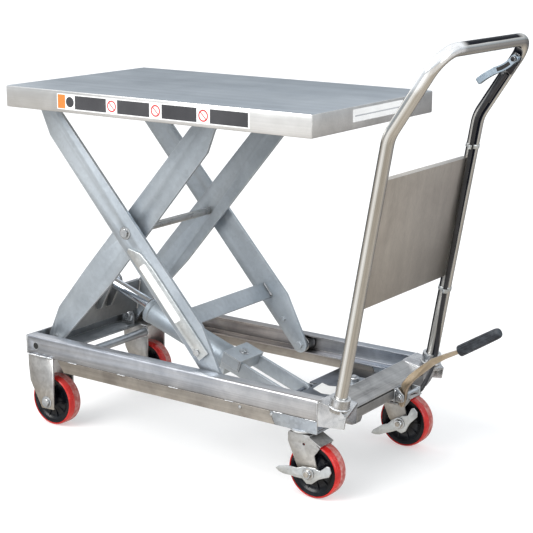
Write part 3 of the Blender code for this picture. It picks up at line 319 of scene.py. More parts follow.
TUBE = tube_with_painted_reflections(TUBE)
LOOKS = {
    "base_rail": RAIL, "rail_stiffener": STIFF, "left_end_plate": END_PLATE, "left_cross_tube": PLATE, "fixed_fork": FORK, "fixed_axle": BOLT,
    "caster_mount": PLATE, "handle_socket": SOCKET, "end_channel": CHANNEL, "deck_plate": DECK, "pump_block": PLATE, "pedal_bracket": PLATE,
    "handle_tube": TUBE, "handle_panel": PANEL, "release_bracket": SHADOWED, "release_cable": CABLE, "base_hinge_pin": TURNED,
    "fixed_tyre": PU, "swivel_tyre": PU, "fixed_hub": BLACK, "swivel_hub": BLACK, "swivel_fork": FORK, "brake_lever": BRAKE,
    "inner_arm": ARM, "outer_arm": ARM, "inner_cross_plate": CROSS_SHADED, "outer_tie_plate": ARM, "centre_shaft": BOLT, "upper_roller": TURNED, "lower_roller": TURNED,
    "safety_prop": BRAKE, "cylinder_barrel": BARREL, "cylinder_yoke": ARM, "piston_rod": CHROME,
    "platform_tray": TOP, "platform_hinge": PLATE, "platform_track": PLATE, "pedal_lever": LEVER, "pedal_grip": GRIP, "pump_plunger": TURNED, "release_lever": BLUED,
}
SOFT_EDGE = {"platform_tray": 0.0, "base_rail": 0.0007, "handle_panel": 0.0004, "release_lever": 0.0006, "handle_tube": 0.0, "release_cable": 0.0}


def dress(node, look):
    o = NODES[node]
    o.data.materials.clear()
    o.data.materials.append(look)
    for polygon in o.data.polygons:
        polygon.use_smooth = True
    stem = node.replace("_near", "").replace("_far", "")
    weld = o.modifiers.new("weld", "WELD")
    weld.merge_threshold = 0.00002
    flat = o.modifiers.new("flat", "DECIMATE")
    flat.decimate_type = "DISSOLVE"
    flat.angle_limit = math.radians(0.8)
    width = SOFT_EDGE.get(stem, 0.0009)
    if width:
        edge = o.modifiers.new("edge", "BEVEL")
        edge.width = width
        edge.segments = 2
        edge.limit_method = "ANGLE"
        edge.angle_limit = math.radians(34)
        edge.harden_normals = True
        edge.use_clamp_overlap = True
    else:
        split = o.modifiers.new("split", "EDGE_SPLIT")
        split.split_angle = math.radians(35)


for node_name in NODES:
    stem = node_name.replace("_near", "").replace("_far", "")
    # the far rail takes the darker copy of the rail steel: painted shade
    dress(node_name, RAIL_SHADED if node_name == "base_rail_far" else LOOKS[stem])
# painted light: the tray's side faces take the lighter copy of its steel, its top the darker one
tray = NODES["platform_tray"]
tray.data.materials.append(SKIRT_LIT)
for polygon in tray.data.polygons:
    if polygon.normal.z < 0.5:
        polygon.material_index = 1

# ================================================================ shapes
def finish(name, bm, look, body, smooth=35.0, bevel=0.0, segments=2):
    mesh = bpy.data.meshes.new(name)
    bmesh.ops.recalc_face_normals(bm, faces=bm.faces[:])
    bm.to_mesh(mesh)
    bm.free()
    made = bpy.data.objects.new(name, mesh)
    SCENE.collection.objects.link(made)
    mesh.materials.append(look)
    for polygon in mesh.polygons:
        polygon.use_smooth = True
    if bevel:
        edge = made.modifiers.new("edge", "BEVEL")
        edge.width, edge.segments, edge.limit_method = bevel, segments, "ANGLE"
        edge.angle_limit = math.radians(smooth)
        edge.harden_normals = True
    elif smooth < 180:
        split = made.modifiers.new("split", "EDGE_SPLIT")
        split.split_angle = math.radians(smooth)
    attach(made, body)
    return made


def lathe(profile, centre, axis, n=64, closed=True):
    """Profile of (radius, distance along the axis), turned round the axis."""
    bm = bmesh.new()
    axis = Vector(axis).normalized()
    u = axis.orthogonal().normalized()
    v = axis.cross(u)
    rings = []
    for r, a in profile:
        if r < 1e-7:
            rings.append([bm.verts.new(centre + axis * a)])
        else:
            rings.append([bm.verts.new(centre + axis * a + (u * math.cos(2 * math.pi * i / n) + v * math.sin(2 * math.pi * i / n)) * r) for i in range(n)])
    pairs = list(zip(rings, rings[1:]))
    if closed and len(rings[0]) > 1 and len(rings[-1]) > 1:
        pairs.append((rings[-1], rings[0]))
    for a, b in pairs:
        for i in range(n):
            j = (i + 1) % n
            if len(a) == 1 and len(b) == 1:
                continue
            if len(a) == 1:
                bm.faces.new((a[0], b[j], b[i]))
            elif len(b) == 1:
                bm.faces.new((a[i], a[j], b[0]))
            else:
                bm.faces.new((a[i], a[j], b[j], b[i]))
    return bm


def rounded(points, r, n=4):
    """A closed outline with each corner rounded."""
    out = []
    for i, p in enumerate(points):
        p = Vector(p)
        a, b = (Vector(points[i - 1]) - p), (Vector(points[(i + 1) % len(points)]) - p)
        back = min(r, a.length * 0.45, b.length * 0.45)
        s, e = p + a.normalized() * back, p + b.normalized() * back
        for k in range(n + 1):
            t = k / n
            out.append(tuple(s * (1 - t) ** 2 + p * (2 * t * (1 - t)) + e * t * t))
    return out


def plate(outline, origin, u, v, thick):
    """A plate from an outline in the plane (u, v) at origin, thick along u x v."""
    bm = bmesh.new()
    u, v = Vector(u).normalized(), Vector(v).normalized()
    w = u.cross(v)
    low = [bm.verts.new(origin + u * a + v * b) for a, b in outline]
    high = [bm.verts.new(origin + u * a + v * b + w * thick) for a, b in outline]
    bm.faces.new(low)
    bm.faces.new(list(reversed(high)))
    for i in range(len(low)):
        j = (i + 1) % len(low)
        bm.faces.new((low[i], low[j], high[j], high[i]))
    return bm


def bead(name, points, r, body, seed=0, look=WELD, squash=0.8):
    """A lumpy weld bead along a line of points."""
    rng = random.Random(seed)
    pts = [Vector(p) for p in points]
    length = sum((b - a).length for a, b in zip(pts, pts[1:]))
    steps = max(6, int(length / 0.0011))
    path, walked = [], 0.0
    for k in range(steps + 1):
        want = length * k / steps
        left = want
        for a, b in zip(pts, pts[1:]):
            d = (b - a).length
            if left <= d + 1e-9:
                path.append((a.lerp(b, left / d), (b - a).normalized()))
                break
            left -= d
    bm = bmesh.new()
    rings = []
    sides = 9
    phase = rng.random() * 6
    for k, (p, d) in enumerate(path):
        u = d.orthogonal().normalized() if abs(d.z) > 0.9 else d.cross(Vector((0, 0, 1))).normalized()
        v = d.cross(u)
        s = length * k / steps
        ripple = 1.0 + 0.16 * math.sin(s / 0.0032 * 2 * math.pi + phase) + 0.35 * noise.noise(Vector((s * 130, seed * 3.1, 0)))
        end = min(1.0, 0.25 + min(k, steps - k) * 0.32)
        wob = u * noise.noise(Vector((s * 90, seed * 7.7, 4))) * r * 0.5 + v * noise.noise(Vector((s * 90, seed * 7.7, 9))) * r * 0.35
        rr = r * ripple * end
        rings.append([bm.verts.new(p + wob + (u * math.cos(2 * math.pi * i / sides) + v * math.sin(2 * math.pi * i / sides) * squash) * rr * (1 + 0.1 * noise.noise(Vector((i * 1.7, s * 300, seed))))) for i in range(sides)])
    for a, b in zip(rings, rings[1:]):
        for i in range(sides):
            j = (i + 1) % sides
            bm.faces.new((a[i], a[j], b[j], b[i]))
    bm.faces.new(list(reversed(rings[0])))
    bm.faces.new(rings[-1])
    return finish(name, bm, look, body, smooth=180)


def hex_bolt(name, centre, axis, r, h, body, look=BOLT, washer=True, turn=0.2, dome=False):
    """A bolt head on its washer, chamfered as real heads are."""
    axis = Vector(axis).normalized()
    centre = Vector(centre)
    made = []
    if washer:
        w = lathe([(r * 0.3, 0), (r * 1.32, 0), (r * 1.38, 0.0003), (r * 1.38, 0.0011), (r * 1.30, 0.0014), (r * 0.3, 0.0014)], centre, axis, 36)
        made.append(finish(name + "_washer", w, look, body, 30))
    base = centre + axis * (0.0013 if washer else 0.0)
    u = axis.orthogonal().normalized()
    v = axis.cross(u)
    bm = bmesh.new()
    n = 48
    rings = []
    for level, share in ((0.0, 1.0), (0.72, 1.0), (0.88, 0.965), (1.0, 0.86)):
        ring = []
        for i in range(n):
            a = 2 * math.pi * i / n
            flat = math.cos(math.pi / 6) / math.cos(((a - turn) % (math.pi / 3)) - math.pi / 6)
            if dome:
                flat = 1.0
            radius = r * min(flat, 1.0 if share == 1.0 else share)
            ring.append(bm.verts.new(base + axis * (h * level) + (u * math.cos(a) + v * math.sin(a)) * radius))
        rings.append(ring)
    top = bm.verts.new(base + axis * (h * (1.12 if dome else 1.0)))
    for a, b in zip(rings, rings[1:]):
        for i in range(n):
            j = (i + 1) % n
            bm.faces.new((a[i], a[j], b[j], b[i]))
    for i in range(n):
        bm.faces.new((rings[-1][i], rings[-1][(i + 1) % n], top))
    bm.faces.new(list(reversed(rings[0])))
    made.append(finish(name, bm, look, body, 25))
    return made


def tube_mesh(points, r, sides=24, cap=True, taper=None):
    """A tube along points, with a frame carried along the path."""
    pts = [Vector(p) for p in points]
    bm = bmesh.new()
    tangent = [(pts[min(i + 1, len(pts) - 1)] - pts[max(i - 1, 0)]).normalized() for i in range(len(pts))]
    u = tangent[0].orthogonal().normalized()
    rings = []
    for i, p in enumerate(pts):
        if i:
            u = (u - tangent[i] * u.dot(tangent[i])).normalized()
        v = tangent[i].cross(u)
        rr = r if taper is None else r * taper(i / (len(pts) - 1))
        rings.append([bm.verts.new(p + (u * math.cos(2 * math.pi * k / sides) + v * math.sin(2 * math.pi * k / sides)) * rr) for k in range(sides)])
    for a, b in zip(rings, rings[1:]):
        for k in range(sides):
            j = (k + 1) % sides
            bm.faces.new((a[k], a[j], b[j], b[k]))
    if cap:
        bm.faces.new(list(reversed(rings[0])))
        bm.faces.new(rings[-1])
    return bm


def round_path(points, radii, n=14, step=None):
    path = [Vector(points[0])]
    for i in range(1, len(points) - 1):
        here, before, after = Vector(points[i]), Vector(points[i - 1]), Vector(points[i + 1])
        u, v = (before - here).normalized(), (after - here).normalized()
        half = u.angle(v) / 2
        back = radii[i - 1] / math.tan(half)
        middle = here + (u + v).normalized() * (radii[i - 1] / math.sin(half))
        a, b = here + u * back - middle, here + v * back - middle
        whole = a.angle(b)
        for k in range(n + 1):
            t = k / n
            path.append(middle + (a * math.sin((1 - t) * whole) + b * math.sin(t * whole)) / math.sin(whole))
    path.append(Vector(points[-1]))
    return path


SIDES = (("near", -1), ("far", 1))
ROLLER_X = 0.028 + 0.806 * math.cos(math.radians(50))
TOP_Z = 0.2015 + 0.806 * math.sin(math.radians(50))
CX, CZ = 0.028 + 0.403 * math.cos(math.radians(50)), 0.2015 + 0.403 * math.sin(math.radians(50))

# ---------------------------------------------------------------- wheels
R = 0.0625


def tyre_profile():
    h = 0.020
    pts = [(0.0574, -0.0186), (0.0577, -0.0196), (0.0582, -h + 0.0001)]
    for k in range(1, 9):
        a = math.radians(70 * k / 8)
        pts.append((0.0584 + 0.0036 * math.sin(a), -h + 0.0060 * (1 - math.cos(a))))
    pts += [(0.0621, -0.0138), (0.0623, -0.0120), (R - 0.0001, -0.0100), (R, -0.0060), (R, -0.0032)]
    return pts + [(r, -a) for r, a in reversed(pts)]


def hub_profile(boss):
    """One side: bearing end, dust shield, web with a rolled ring, rim."""
    side = [(0.0066, boss - 0.0004), (0.0072, boss), (0.0104, boss), (0.0108, boss - 0.0008), (0.0120, boss - 0.0010), (0.0125, boss - 0.0002), (0.0148, boss - 0.0002),
            (0.0153, boss - 0.0010), (0.0165, 0.0180), (0.0190, 0.0166), (0.0208, 0.0158), (0.0225, 0.0146), (0.0290, 0.0126), (0.0350, 0.0116), (0.0378, 0.0120),
            (0.0410, 0.0128), (0.0450, 0.0150), (0.0480, 0.0172), (0.0500, 0.0180), (0.0530, 0.0183), (0.0537, 0.0189), (0.0562, 0.0190), (0.0569, 0.0184)]
    return [(r, -a) for r, a in side] + [(r, a) for r, a in reversed(side)]


def add_wheel(kind, side, centre, boss):
    body = f"{kind}_wheel_{side}"
    tyre = finish(f"tyre_{kind}_{side}", lathe(tyre_profile(), centre, (0, 1, 0), 120), PU, body, 60)
    tyre.data.materials.append(TREAD)
    for polygon in tyre.data.polygons:
        radial = Vector((polygon.center.x - centre.x, 0, polygon.center.z - centre.z)).length
        if radial > R - 0.0012 and polygon.center.y > centre.y - 0.0030:
            polygon.material_index = 1
    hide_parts(f"{kind}_tyre_{side}")
    bm = lathe(hub_profile(boss), centre, (0, 1, 0), 120)
    hub = finish(f"hub_{kind}_{side}", bm, BLACK, body, 40)
    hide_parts(f"{kind}_hub_{side}")
    for face in (-1, 1):
        ring = lathe([(0.0074, 0), (0.0102, 0), (0.0102, 0.0006), (0.0074, 0.0006)], centre + Vector((0, face * (boss - 0.0003), 0)), (0, face, 0), 48)
        finish(f"bearing_{kind}_{side}_{'a' if face < 0 else 'b'}", ring, BOLT, body, 30)
        # short ribs moulded in the web
        ribs = bmesh.new()
        for k in range(10):
            a = 2 * math.pi * k / 10
            d, t = Vector((math.cos(a), 0, math.sin(a))), Vector((-math.sin(a), 0, math.cos(a)))
            base = centre + Vector((0, face * 0.0105, 0))
            ring = []
            for r_, w_, y_ in ((0.0150, 0.0011, 0.0072), (0.0300, 0.0010, 0.0036), (0.0470, 0.0010, 0.0052)):
                ring.append([ribs.verts.new(base + d * r_ + t * (s * w_) + Vector((0, face * (y_ if up else -0.002), 0))) for s, up in ((-1, 0), (-0.6, 1), (0.6, 1), (1, 0))])
            for p, q in zip(ring, ring[1:]):
                for i in range(4):
                    j = (i + 1) % 4
                    ribs.faces.new((p[i], p[j], q[j], q[i]))
            ribs.faces.new(ring[0])
            ribs.faces.new(list(reversed(ring[-1])))
        finish(f"hub_ribs_{kind}_{side}_{'a' if face < 0 else 'b'}", ribs, BLACK, body, 35)


for side, sign in SIDES:
    add_wheel("fixed", side, at(0.0577, sign * 0.1788, R), 0.0316)
    add_wheel("swivel", side, at(0.837, sign * 0.194, R), 0.0220)

# ---------------------------------------------------------------- handle tube
LEAN = math.radians(9.92)


def on_tube(w, n=0.0):
    return (0.8965 + w * math.sin(LEAN) + n * math.cos(LEAN), 0.233 + w * math.cos(LEAN) - n * math.sin(LEAN))


def leg_y(w):
    return 0.1985 - 0.0049 * w / 0.5764


def leg(w, sign=1):
    x, z = on_tube(w)
    return at(x, sign * leg_y(w), z)


bend, corner = on_tube(0.5764), (1.1101, 0.9741)
route = [leg(-0.044, -1), at(bend[0], -0.1936, bend[1]), at(corner[0], -0.1919, corner[1]), at(corner[0], 0.1919, corner[1]), at(bend[0], 0.1936, bend[1]), leg(-0.044, 1)]
path = round_path(route, [0.085, 0.055, 0.055, 0.085], 18)
handle = finish("handle_loop", tube_mesh(path, 0.014, 48), TUBE, "base", 50)
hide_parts("handle_tube")

# ---------------------------------------------------------------- round parts, turned smooth
shaft = [(0.0, -0.1805), (0.0062, -0.1805), (0.0070, -0.1798), (0.0094, -0.1786), (0.0100, -0.1780), (0.0100, -0.1755), (0.0090, -0.1755), (0.0090, -0.1666), (0.0134, -0.1666), (0.0140, -0.1660), (0.0140, -0.1510), (0.0134, -0.1504), (0.0090, -0.1504)]
shaft += [(r, -a) for r, a in reversed(shaft)]
piece = finish("turned_shaft", lathe(shaft, at(CX, 0, CZ), (0, 1, 0), 72, closed=False), TURNED, "inner_arms", 35)
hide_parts("centre_shaft")
tube = [(0.0, -0.1416), (0.0099, -0.1416), (0.0105, -0.1410), (0.0105, 0.1410), (0.0099, 0.1416), (0.0, 0.1416)]
piece = finish("round_cross_tube", lathe(tube, at(0.075, 0, 0.161), (0, 1, 0), 64, closed=False), PLATE_SOFT, "base", 35)
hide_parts("left_cross_tube")
ram_dir = (Vector((0.648, 0, 0.142)) - Vector((0.088, 0, 0.330))).normalized()
ram_up = Vector((-ram_dir.z, 0, ram_dir.x))
if ram_up.z < 0:
    ram_up = -ram_up
barrel_at = at(0.088, 0, 0.330) - ram_up * 0.012
skin_line = [(0.0145, 0.1370), (0.0284, 0.1370), (0.0312, 0.1382), (0.0315, 0.1390), (0.0315, 0.1490), (0.0311, 0.1500), (0.0291, 0.1515), (0.0286, 0.1520), (0.0286, 0.1538), (0.0294, 0.1543), (0.0300, 0.1550)]
skin_line += [(0.0300, 0.3780), (0.0303, 0.3790), (0.0306, 0.3805), (0.0303, 0.3820), (0.0300, 0.3830), (0.0300, 0.3965), (0.0288, 0.3980), (0.0, 0.3980)]
piece = finish("smooth_barrel", lathe(skin_line, barrel_at, ram_dir, 96, closed=False), BARREL, "cylinder", 30)
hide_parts("cylinder_barrel")
finish("gland_face", lathe([(0.0, 0.1372), (0.0290, 0.1372), (0.0290, 0.1380), (0.0, 0.1380)], barrel_at, ram_dir, 64, closed=False), BARREL, "cylinder", 30)
finish("rod_wiper", lathe([(0.0141, 0.1330), (0.0172, 0.1332), (0.0180, 0.1345), (0.0180, 0.1371), (0.0141, 0.1371)], at(0.088, 0, 0.330), ram_dir, 64), CABLE, "cylinder", 30)

hood_at = at(0.088, 0, 0.330)
finish("hood_top", plate(rounded([(0.3990, -0.0470), (0.4520, -0.0470), (0.4520, 0.0470), (0.3990, 0.0470)], 0.0015, 3), hood_at + ram_up * 0.0212, ram_dir, (0, 1, 0), -0.0030 if ram_dir.cross(Vector((0, 1, 0))).dot(ram_up) < 0 else 0.0030), ARM, "cylinder", 35, bevel=0.0006)
finish("hood_end", plate([(-0.0455, -0.0060), (0.0455, -0.0060), (0.0455, 0.0214), (-0.0455, 0.0214)], hood_at + ram_dir * 0.4492, (0, 1, 0), ram_up, 0.0026), ARM, "cylinder", 35, bevel=0.0005)
finish("hood_side", plate([(0.4000, -0.0040), (0.4490, -0.0040), (0.4490, 0.0214), (0.4000, 0.0214)], hood_at + Vector((0, -0.0446, 0)), ram_dir, ram_up, 0.0024), ARM, "cylinder", 35, bevel=0.0005)
hex_bolt("hood_bolt", hood_at + ram_dir * 0.4270 + ram_up * 0.0242, ram_up, 0.0085, 0.0056, "cylinder", turn=0.35)

# ---------------------------------------------------------------- pedal grip with ribs along it
grip_from, grip_to = at(1.0566, 0.02675, 0.3125), at(1.1495, 0.02675, 0.3706)
way = (grip_to - grip_from).normalized()
length = (grip_to - grip_from).length
gu = Vector((0, 1, 0))
gv = way.cross(gu)
bm = bmesh.new()
rings, sides = [], 112
stations = [(0.0, 0.0112), (0.0006, 0.0122), (0.0022, 0.0129), (0.012, 0.0129), (0.030, 0.0129), (0.055, 0.0127), (0.080, 0.0124), (length - 0.012, 0.0121), (length - 0.005, 0.0114), (length - 0.0016, 0.0101), (length, 0.0086)]
for a, r in stations:
    ring = []
    depth = 0.0011 if 0.0015 < a < length - 0.004 else 0.0
    for i in range(sides):
        t = 2 * math.pi * i / sides
        wave = 0.5 + 0.5 * math.cos(14 * t)
        rr = r - depth * (1 - wave ** 0.35 if wave > 0 else 1)
        ring.append(bm.verts.new(grip_from + way * a + (gu * math.cos(t) + gv * math.sin(t)) * rr))
    rings.append(ring)
for a, b in zip(rings, rings[1:]):
    for i in range(sides):
        j = (i + 1) % sides
        bm.faces.new((a[i], a[j], b[j], b[i]))
bm.faces.new(list(reversed(rings[0])))
bm.faces.new(rings[-1])
grip = finish("ribbed_grip", bm, GRIP, "pedal", 40)
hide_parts("pedal_grip")
finish("grip_cap", lathe([(0.0, 0.0), (0.0030, 0.0), (0.0030, 0.0010), (0.0022, 0.0016), (0.0, 0.0018)], grip_to - way * 0.0012, way, 24, closed=False), GRIP, "pedal", 30)

# ---------------------------------------------------------------- welds
for side, sign in SIDES:
    out = sign * 0.2158
    bead(f"weld_fork_out_{side}", [at(0.0030, out, 0.1778), at(0.0800, out, 0.1778)], 0.0030, "base", 11 + sign)
    bead(f"weld_fork_in_{side}", [at(0.0030, sign * 0.1418, 0.1779), at(0.0800, sign * 0.1418, 0.1779)], 0.0024, "base", 14 + sign)
    bead(f"weld_end_out_{side}", [at(-0.0004, sign * 0.2146, 0.1800), at(-0.0004, sign * 0.2146, 0.2238)], 0.0022, "base", 17 + sign)
    bead(f"weld_mount_a_{side}", [at(0.7330, sign * 0.2151, 0.1778), at(0.7600, sign * 0.2151, 0.1778)], 0.0015, "base", 20 + sign)
    bead(f"weld_mount_b_{side}", [at(0.8150, sign * 0.2151, 0.1778), at(0.8460, sign * 0.2151, 0.1778)], 0.0015, "base", 23 + sign)
    for k, (a, b) in enumerate(((0.130, 0.160), (0.285, 0.312), (0.440, 0.470), (0.600, 0.628))):
        bead(f"weld_stiffener_{side}_{k}", [at(a, sign * 0.2144, 0.1776), at(b, sign * 0.2144, 0.1776)], 0.0013, "base", 30 + k + sign * 9)
    bead(f"weld_block_top_{side}", [at(0.8484, sign * 0.2150, 0.2235), at(0.8484, sign * 0.1490, 0.2235)], 0.0016, "base", 50 + sign)
    bead(f"weld_block_side_{side}", [at(0.8484, sign * 0.2156, 0.1800), at(0.8484, sign * 0.2156, 0.2225)], 0.0016, "base", 53 + sign)
    bead(f"weld_block_inner_{side}", [at(0.8530, sign * 0.1458, 0.2228), at(0.9020, sign * 0.1458, 0.2064)], 0.0018, "base", 56 + sign)
    foot_at, up = leg(-0.0168, sign), (leg(0.1, sign) - leg(0.0, sign)).normalized()
    fu = up.orthogonal().normalized()
    fv = up.cross(fu)
    ring = [foot_at + (fu * math.cos(2 * math.pi * k / 40) + fv * math.sin(2 * math.pi * k / 40)) * 0.0218 for k in range(41)]
    ring = [p + up * (-0.03 * (p.x - foot_at.x)) for p in ring]
    bead(f"weld_collar_{side}", ring, 0.0028, "base", 60 + sign)
    lip = lathe([(0.0146, 0.0), (0.0212, 0.0), (0.0216, 0.0006), (0.0214, 0.0022), (0.0200, 0.0030), (0.0152, 0.0026)], leg(0.0026, sign), up, 64)
    finish(f"collar_lip_{side}", lip, WELD, "base", 40)
    bead(f"weld_tie_{side}", [at(CX + 0.226 * math.cos(math.radians(50)) + 0.0095 * math.sin(math.radians(50)), sign * 0.1662, CZ - 0.226 * math.sin(math.radians(50)) + 0.0095 * math.cos(math.radians(50))),
                              at(CX + 0.264 * math.cos(math.radians(50)) + 0.0095 * math.sin(math.radians(50)), sign * 0.1662, CZ - 0.264 * math.sin(math.radians(50)) + 0.0095 * math.cos(math.radians(50)))], 0.0024, "outer_arms", 70 + sign)
    bead(f"weld_cross_{side}", [at(0.0495, sign * 0.1408, 0.2200), at(0.0622, sign * 0.1408, 0.3000)], 0.0026, "inner_arms", 73 + sign)
    bead(f"weld_tube_{side}", [at(0.075 + 0.0118 * math.cos(2 * math.pi * k / 24), sign * 0.1408, 0.161 + 0.0118 * math.sin(2 * math.pi * k / 24)) for k in range(25)], 0.0020, "base", 76 + sign)
    for k, lug_y in enumerate((0.0155, 0.0215)):
        bead(f"weld_lug_{side}_{k}", [at(0.0525, sign * lug_y, 0.2600), at(0.0560, sign * lug_y, 0.2960)], 0.0017, "inner_arms", 80 + k + sign)

# ---------------------------------------------------------------- bolts and washers
for side, sign in SIDES:
    hex_bolt(f"bolt_fixed_out_{side}", at(0.0577, sign * 0.2153, R), (0, sign, 0), 0.0112, 0.0060, "base")
    hex_bolt(f"bolt_fixed_in_{side}", at(0.0577, sign * 0.1421, R), (0, -sign, 0), 0.0112, 0.0062, "base")
    hex_bolt(f"bolt_centre_{side}", at(CX, sign * 0.1752, CZ), (0, sign, 0), 0.0112, 0.0048, "inner_arms", turn=0.5)
    hex_bolt(f"bolt_hinge_{side}", at(0.028, sign * 0.1288, 0.2015), (0, -sign, 0), 0.0122, 0.0062, "base", turn=0.1)
    hex_bolt(f"bolt_brake_{side}", at(0.837, sign * 0.194 - 0.0364, R), (0, -1, 0), 0.0104, 0.0072, f"swivel_{side}", turn=0.35)
    hex_bolt(f"bolt_swivel_{side}", at(0.837, sign * 0.194 + 0.0255, R), (0, 1, 0), 0.0102, 0.0055, f"swivel_{side}")
    for k, (x, z) in enumerate(((0.6440, 0.1700), (0.7290, 0.1700))):
        hex_bolt(f"bolt_stiffener_{side}_{k}", at(x, sign * 0.2141, z), (0, sign, 0), 0.0042, 0.0016, "base", washer=False, dome=True)
    for k, (dx, dy) in enumerate(((-0.034, -0.024), (0.034, -0.024), (-0.034, 0.016), (0.034, 0.016))):
        hex_bolt(f"bolt_mount_{side}_{k}", at(0.802 + dx, sign * 0.183 + dy * 0.8, 0.1484), (0, 0, -1), 0.0050, 0.0030, "base", turn=0.1 * k)
    # swivel head: two dished races with a dark gap between them
    head = at(0.802, sign * 0.194, 0.0)
    finish(f"race_top_{side}", lathe([(0.0, 0.1490), (0.0285, 0.1490), (0.0300, 0.1478), (0.0300, 0.1462), (0.0284, 0.1452), (0.0, 0.1452)], head, (0, 0, 1), 64, closed=False), FORK, "base", 40)
    finish(f"race_low_{side}", lathe([(0.0, 0.1448), (0.0262, 0.1448), (0.0274, 0.1440), (0.0270, 0.1431), (0.0, 0.1431)], head, (0, 0, 1), 64, closed=False), FORK, f"swivel_{side}", 40)
hex_bolt("bolt_prop", at(0.498, -0.1818, 0.260), (0, -1, 0), 0.0090, 0.0020, "outer_arms", washer=False)
hex_bolt("bolt_lever", at(1.0937, 0.1533, 0.9326), (0, -1, 0), 0.0050, 0.0030, "base", washer=False, dome=True)
for k, (y, z) in enumerate(((0.0120, 0.1965), (0.0415, 0.1965))):
    hex_bolt(f"screw_bracket_{k}", at(0.9081, y, z), (1, 0, 0), 0.0036, 0.0022, "base", washer=False, dome=True)
hex_bolt("bolt_pedal", at(0.918, 0.0122, 0.181), (0, -1, 0), 0.0068, 0.0040, "base")
for k, (x, y) in enumerate(((0.7765, 0.0085), (0.8350, 0.0090), (0.8350, 0.0490), (0.7765, 0.0495))):
    hex_bolt(f"bolt_pump_{k}", at(x, y, 0.1938), (0, 0, 1), 0.0044, 0.0038, "base")
finish("pump_cap", lathe([(0.0, 0.0), (0.0118, 0.0), (0.0120, 0.0010), (0.0120, 0.0070), (0.0108, 0.0084), (0.0060, 0.0088), (0.0058, 0.0110), (0.0, 0.0112)], at(0.7900, 0.0285, 0.1938), (0, 0, 1), 48, closed=False), BOLT, "base", 35)
finish("pump_gland", lathe([(0.0046, 0.0), (0.0085, 0.0), (0.0090, 0.0008), (0.0090, 0.0052), (0.0080, 0.0062), (0.0046, 0.0062)], at(0.8440, 0.02675, 0.1620), (1, 0, 0), 40), BOLT, "base", 35)
finish("cable_gland", lathe([(0.0052, 0.0), (0.0078, 0.0), (0.0080, 0.0008), (0.0076, 0.0070), (0.0052, 0.0078)], at(0.8160, 0.0578, 0.1720), (0, 1, 0), 36), BOLT, "base", 35)

# ---------------------------------------------------------------- cable clips and ends
for k, w in enumerate((0.508, 0.168)):
    centre, up = leg(w), (leg(0.1) - leg(0.0)).normalized()
    band = lathe([(0.0141, -0.0045), (0.0152, -0.0045), (0.0155, -0.0040), (0.0155, 0.0040), (0.0152, 0.0045), (0.0141, 0.0045)], centre, up, 64)
    finish(f"cable_clip_{k}", band, BRAKE, "base", 35)
    x, z = on_tube(w, 0.0045 if k == 0 else 0.0108)
    loop_at = at(x, leg_y(w) - 0.0196, z)
    finish(f"cable_loop_{k}", lathe([(0.0051, -0.0045), (0.0060, -0.0045), (0.0062, -0.0038), (0.0062, 0.0038), (0.0060, 0.0045), (0.0051, 0.0045)], loop_at, up, 36), BRAKE, "base", 35)

boot = [at(1.0693, 0.1727, 0.8984), at(1.0560, 0.1727, 0.8802), at(1.0400, 0.1733, 0.8560), at(1.0270, 0.1737, 0.8350)]
boot = [Vector((p.x - 0.0005, p.y + 0.0004, p.z)) for p in boot]
finish("cable_boot", tube_mesh(round_path(boot, [0.05, 0.08], 6), 0.0054, 28, True, lambda t: 1.0 - 0.04 * t), CABLE, "base", 50)
# painted shadow: a dark strip under the front edge of the end channel, and dark discs painted as the shade inside the
# plug holes in the rails
for side, sign in SIDES:
    finish(f"rail_plug_{side}", lathe([(0.0, 0.0), (0.0082, 0.0), (0.0082, 0.0004), (0.0, 0.0006)], at(0.028, sign * 0.2153, 0.2015), (0, sign, 0), 40, closed=False), SHADE_BLACK, "base", 35)
    finish(f"rail_plug_ring_{side}", lathe([(0.0080, 0.0), (0.0094, 0.0), (0.0094, 0.0006), (0.0080, 0.0006)], at(0.028, sign * 0.2153, 0.2015), (0, sign, 0), 40), BOLT, "base", 35)
finish("channel_gap", plate([(-0.1440, 0.1985), (0.1440, 0.1985), (0.1440, 0.2022), (-0.1440, 0.2022)], at(0.90505, 0, 0), (0, 1, 0), (0, 0, 1), 0.0002), SHADE_BLACK, "base", 35)

# ---------------------------------------------------------------- release lever: a folded channel with a ribbed tip
lever_from, lever_to = at(1.0937, 0.1605, 0.9326), at(1.0085, 0.1605, 0.8786)
lever_way = (lever_to - lever_from).normalized()
lever_up = Vector((0, 1, 0)).cross(lever_way)
if lever_up.z < 0:
    lever_up = -lever_up
lever_long = (lever_to - lever_from).length


def lever_place(t):
    sway = -0.0036 * math.sin(2 * math.pi * t) * (1.0 if t < 0.5 else 0.45)
    return lever_from + lever_way * (lever_long * t) + lever_up * sway


def lever_sweep(stations, profile):
    bm = bmesh.new()
    rings = []
    for t in stations:
        along = (lever_place(min(1.0, t + 0.01)) - lever_place(max(0.0, t - 0.01))).normalized()
        up = Vector((0, 1, 0)).cross(along)
        if up.z < 0:
            up = -up
        here = lever_place(t)
        rings.append([bm.verts.new(here + Vector((0, y, 0)) + up * h) for y, h in profile(t)])
    for one, two in zip(rings, rings[1:]):
        for i in range(len(one)):
            j = (i + 1) % len(one)
            bm.faces.new((one[i], one[j], two[j], two[i]))
    bm.faces.new(list(reversed(rings[0])))
    bm.faces.new(rings[-1])
    bmesh.ops.recalc_face_normals(bm, faces=bm.faces)
    return bm


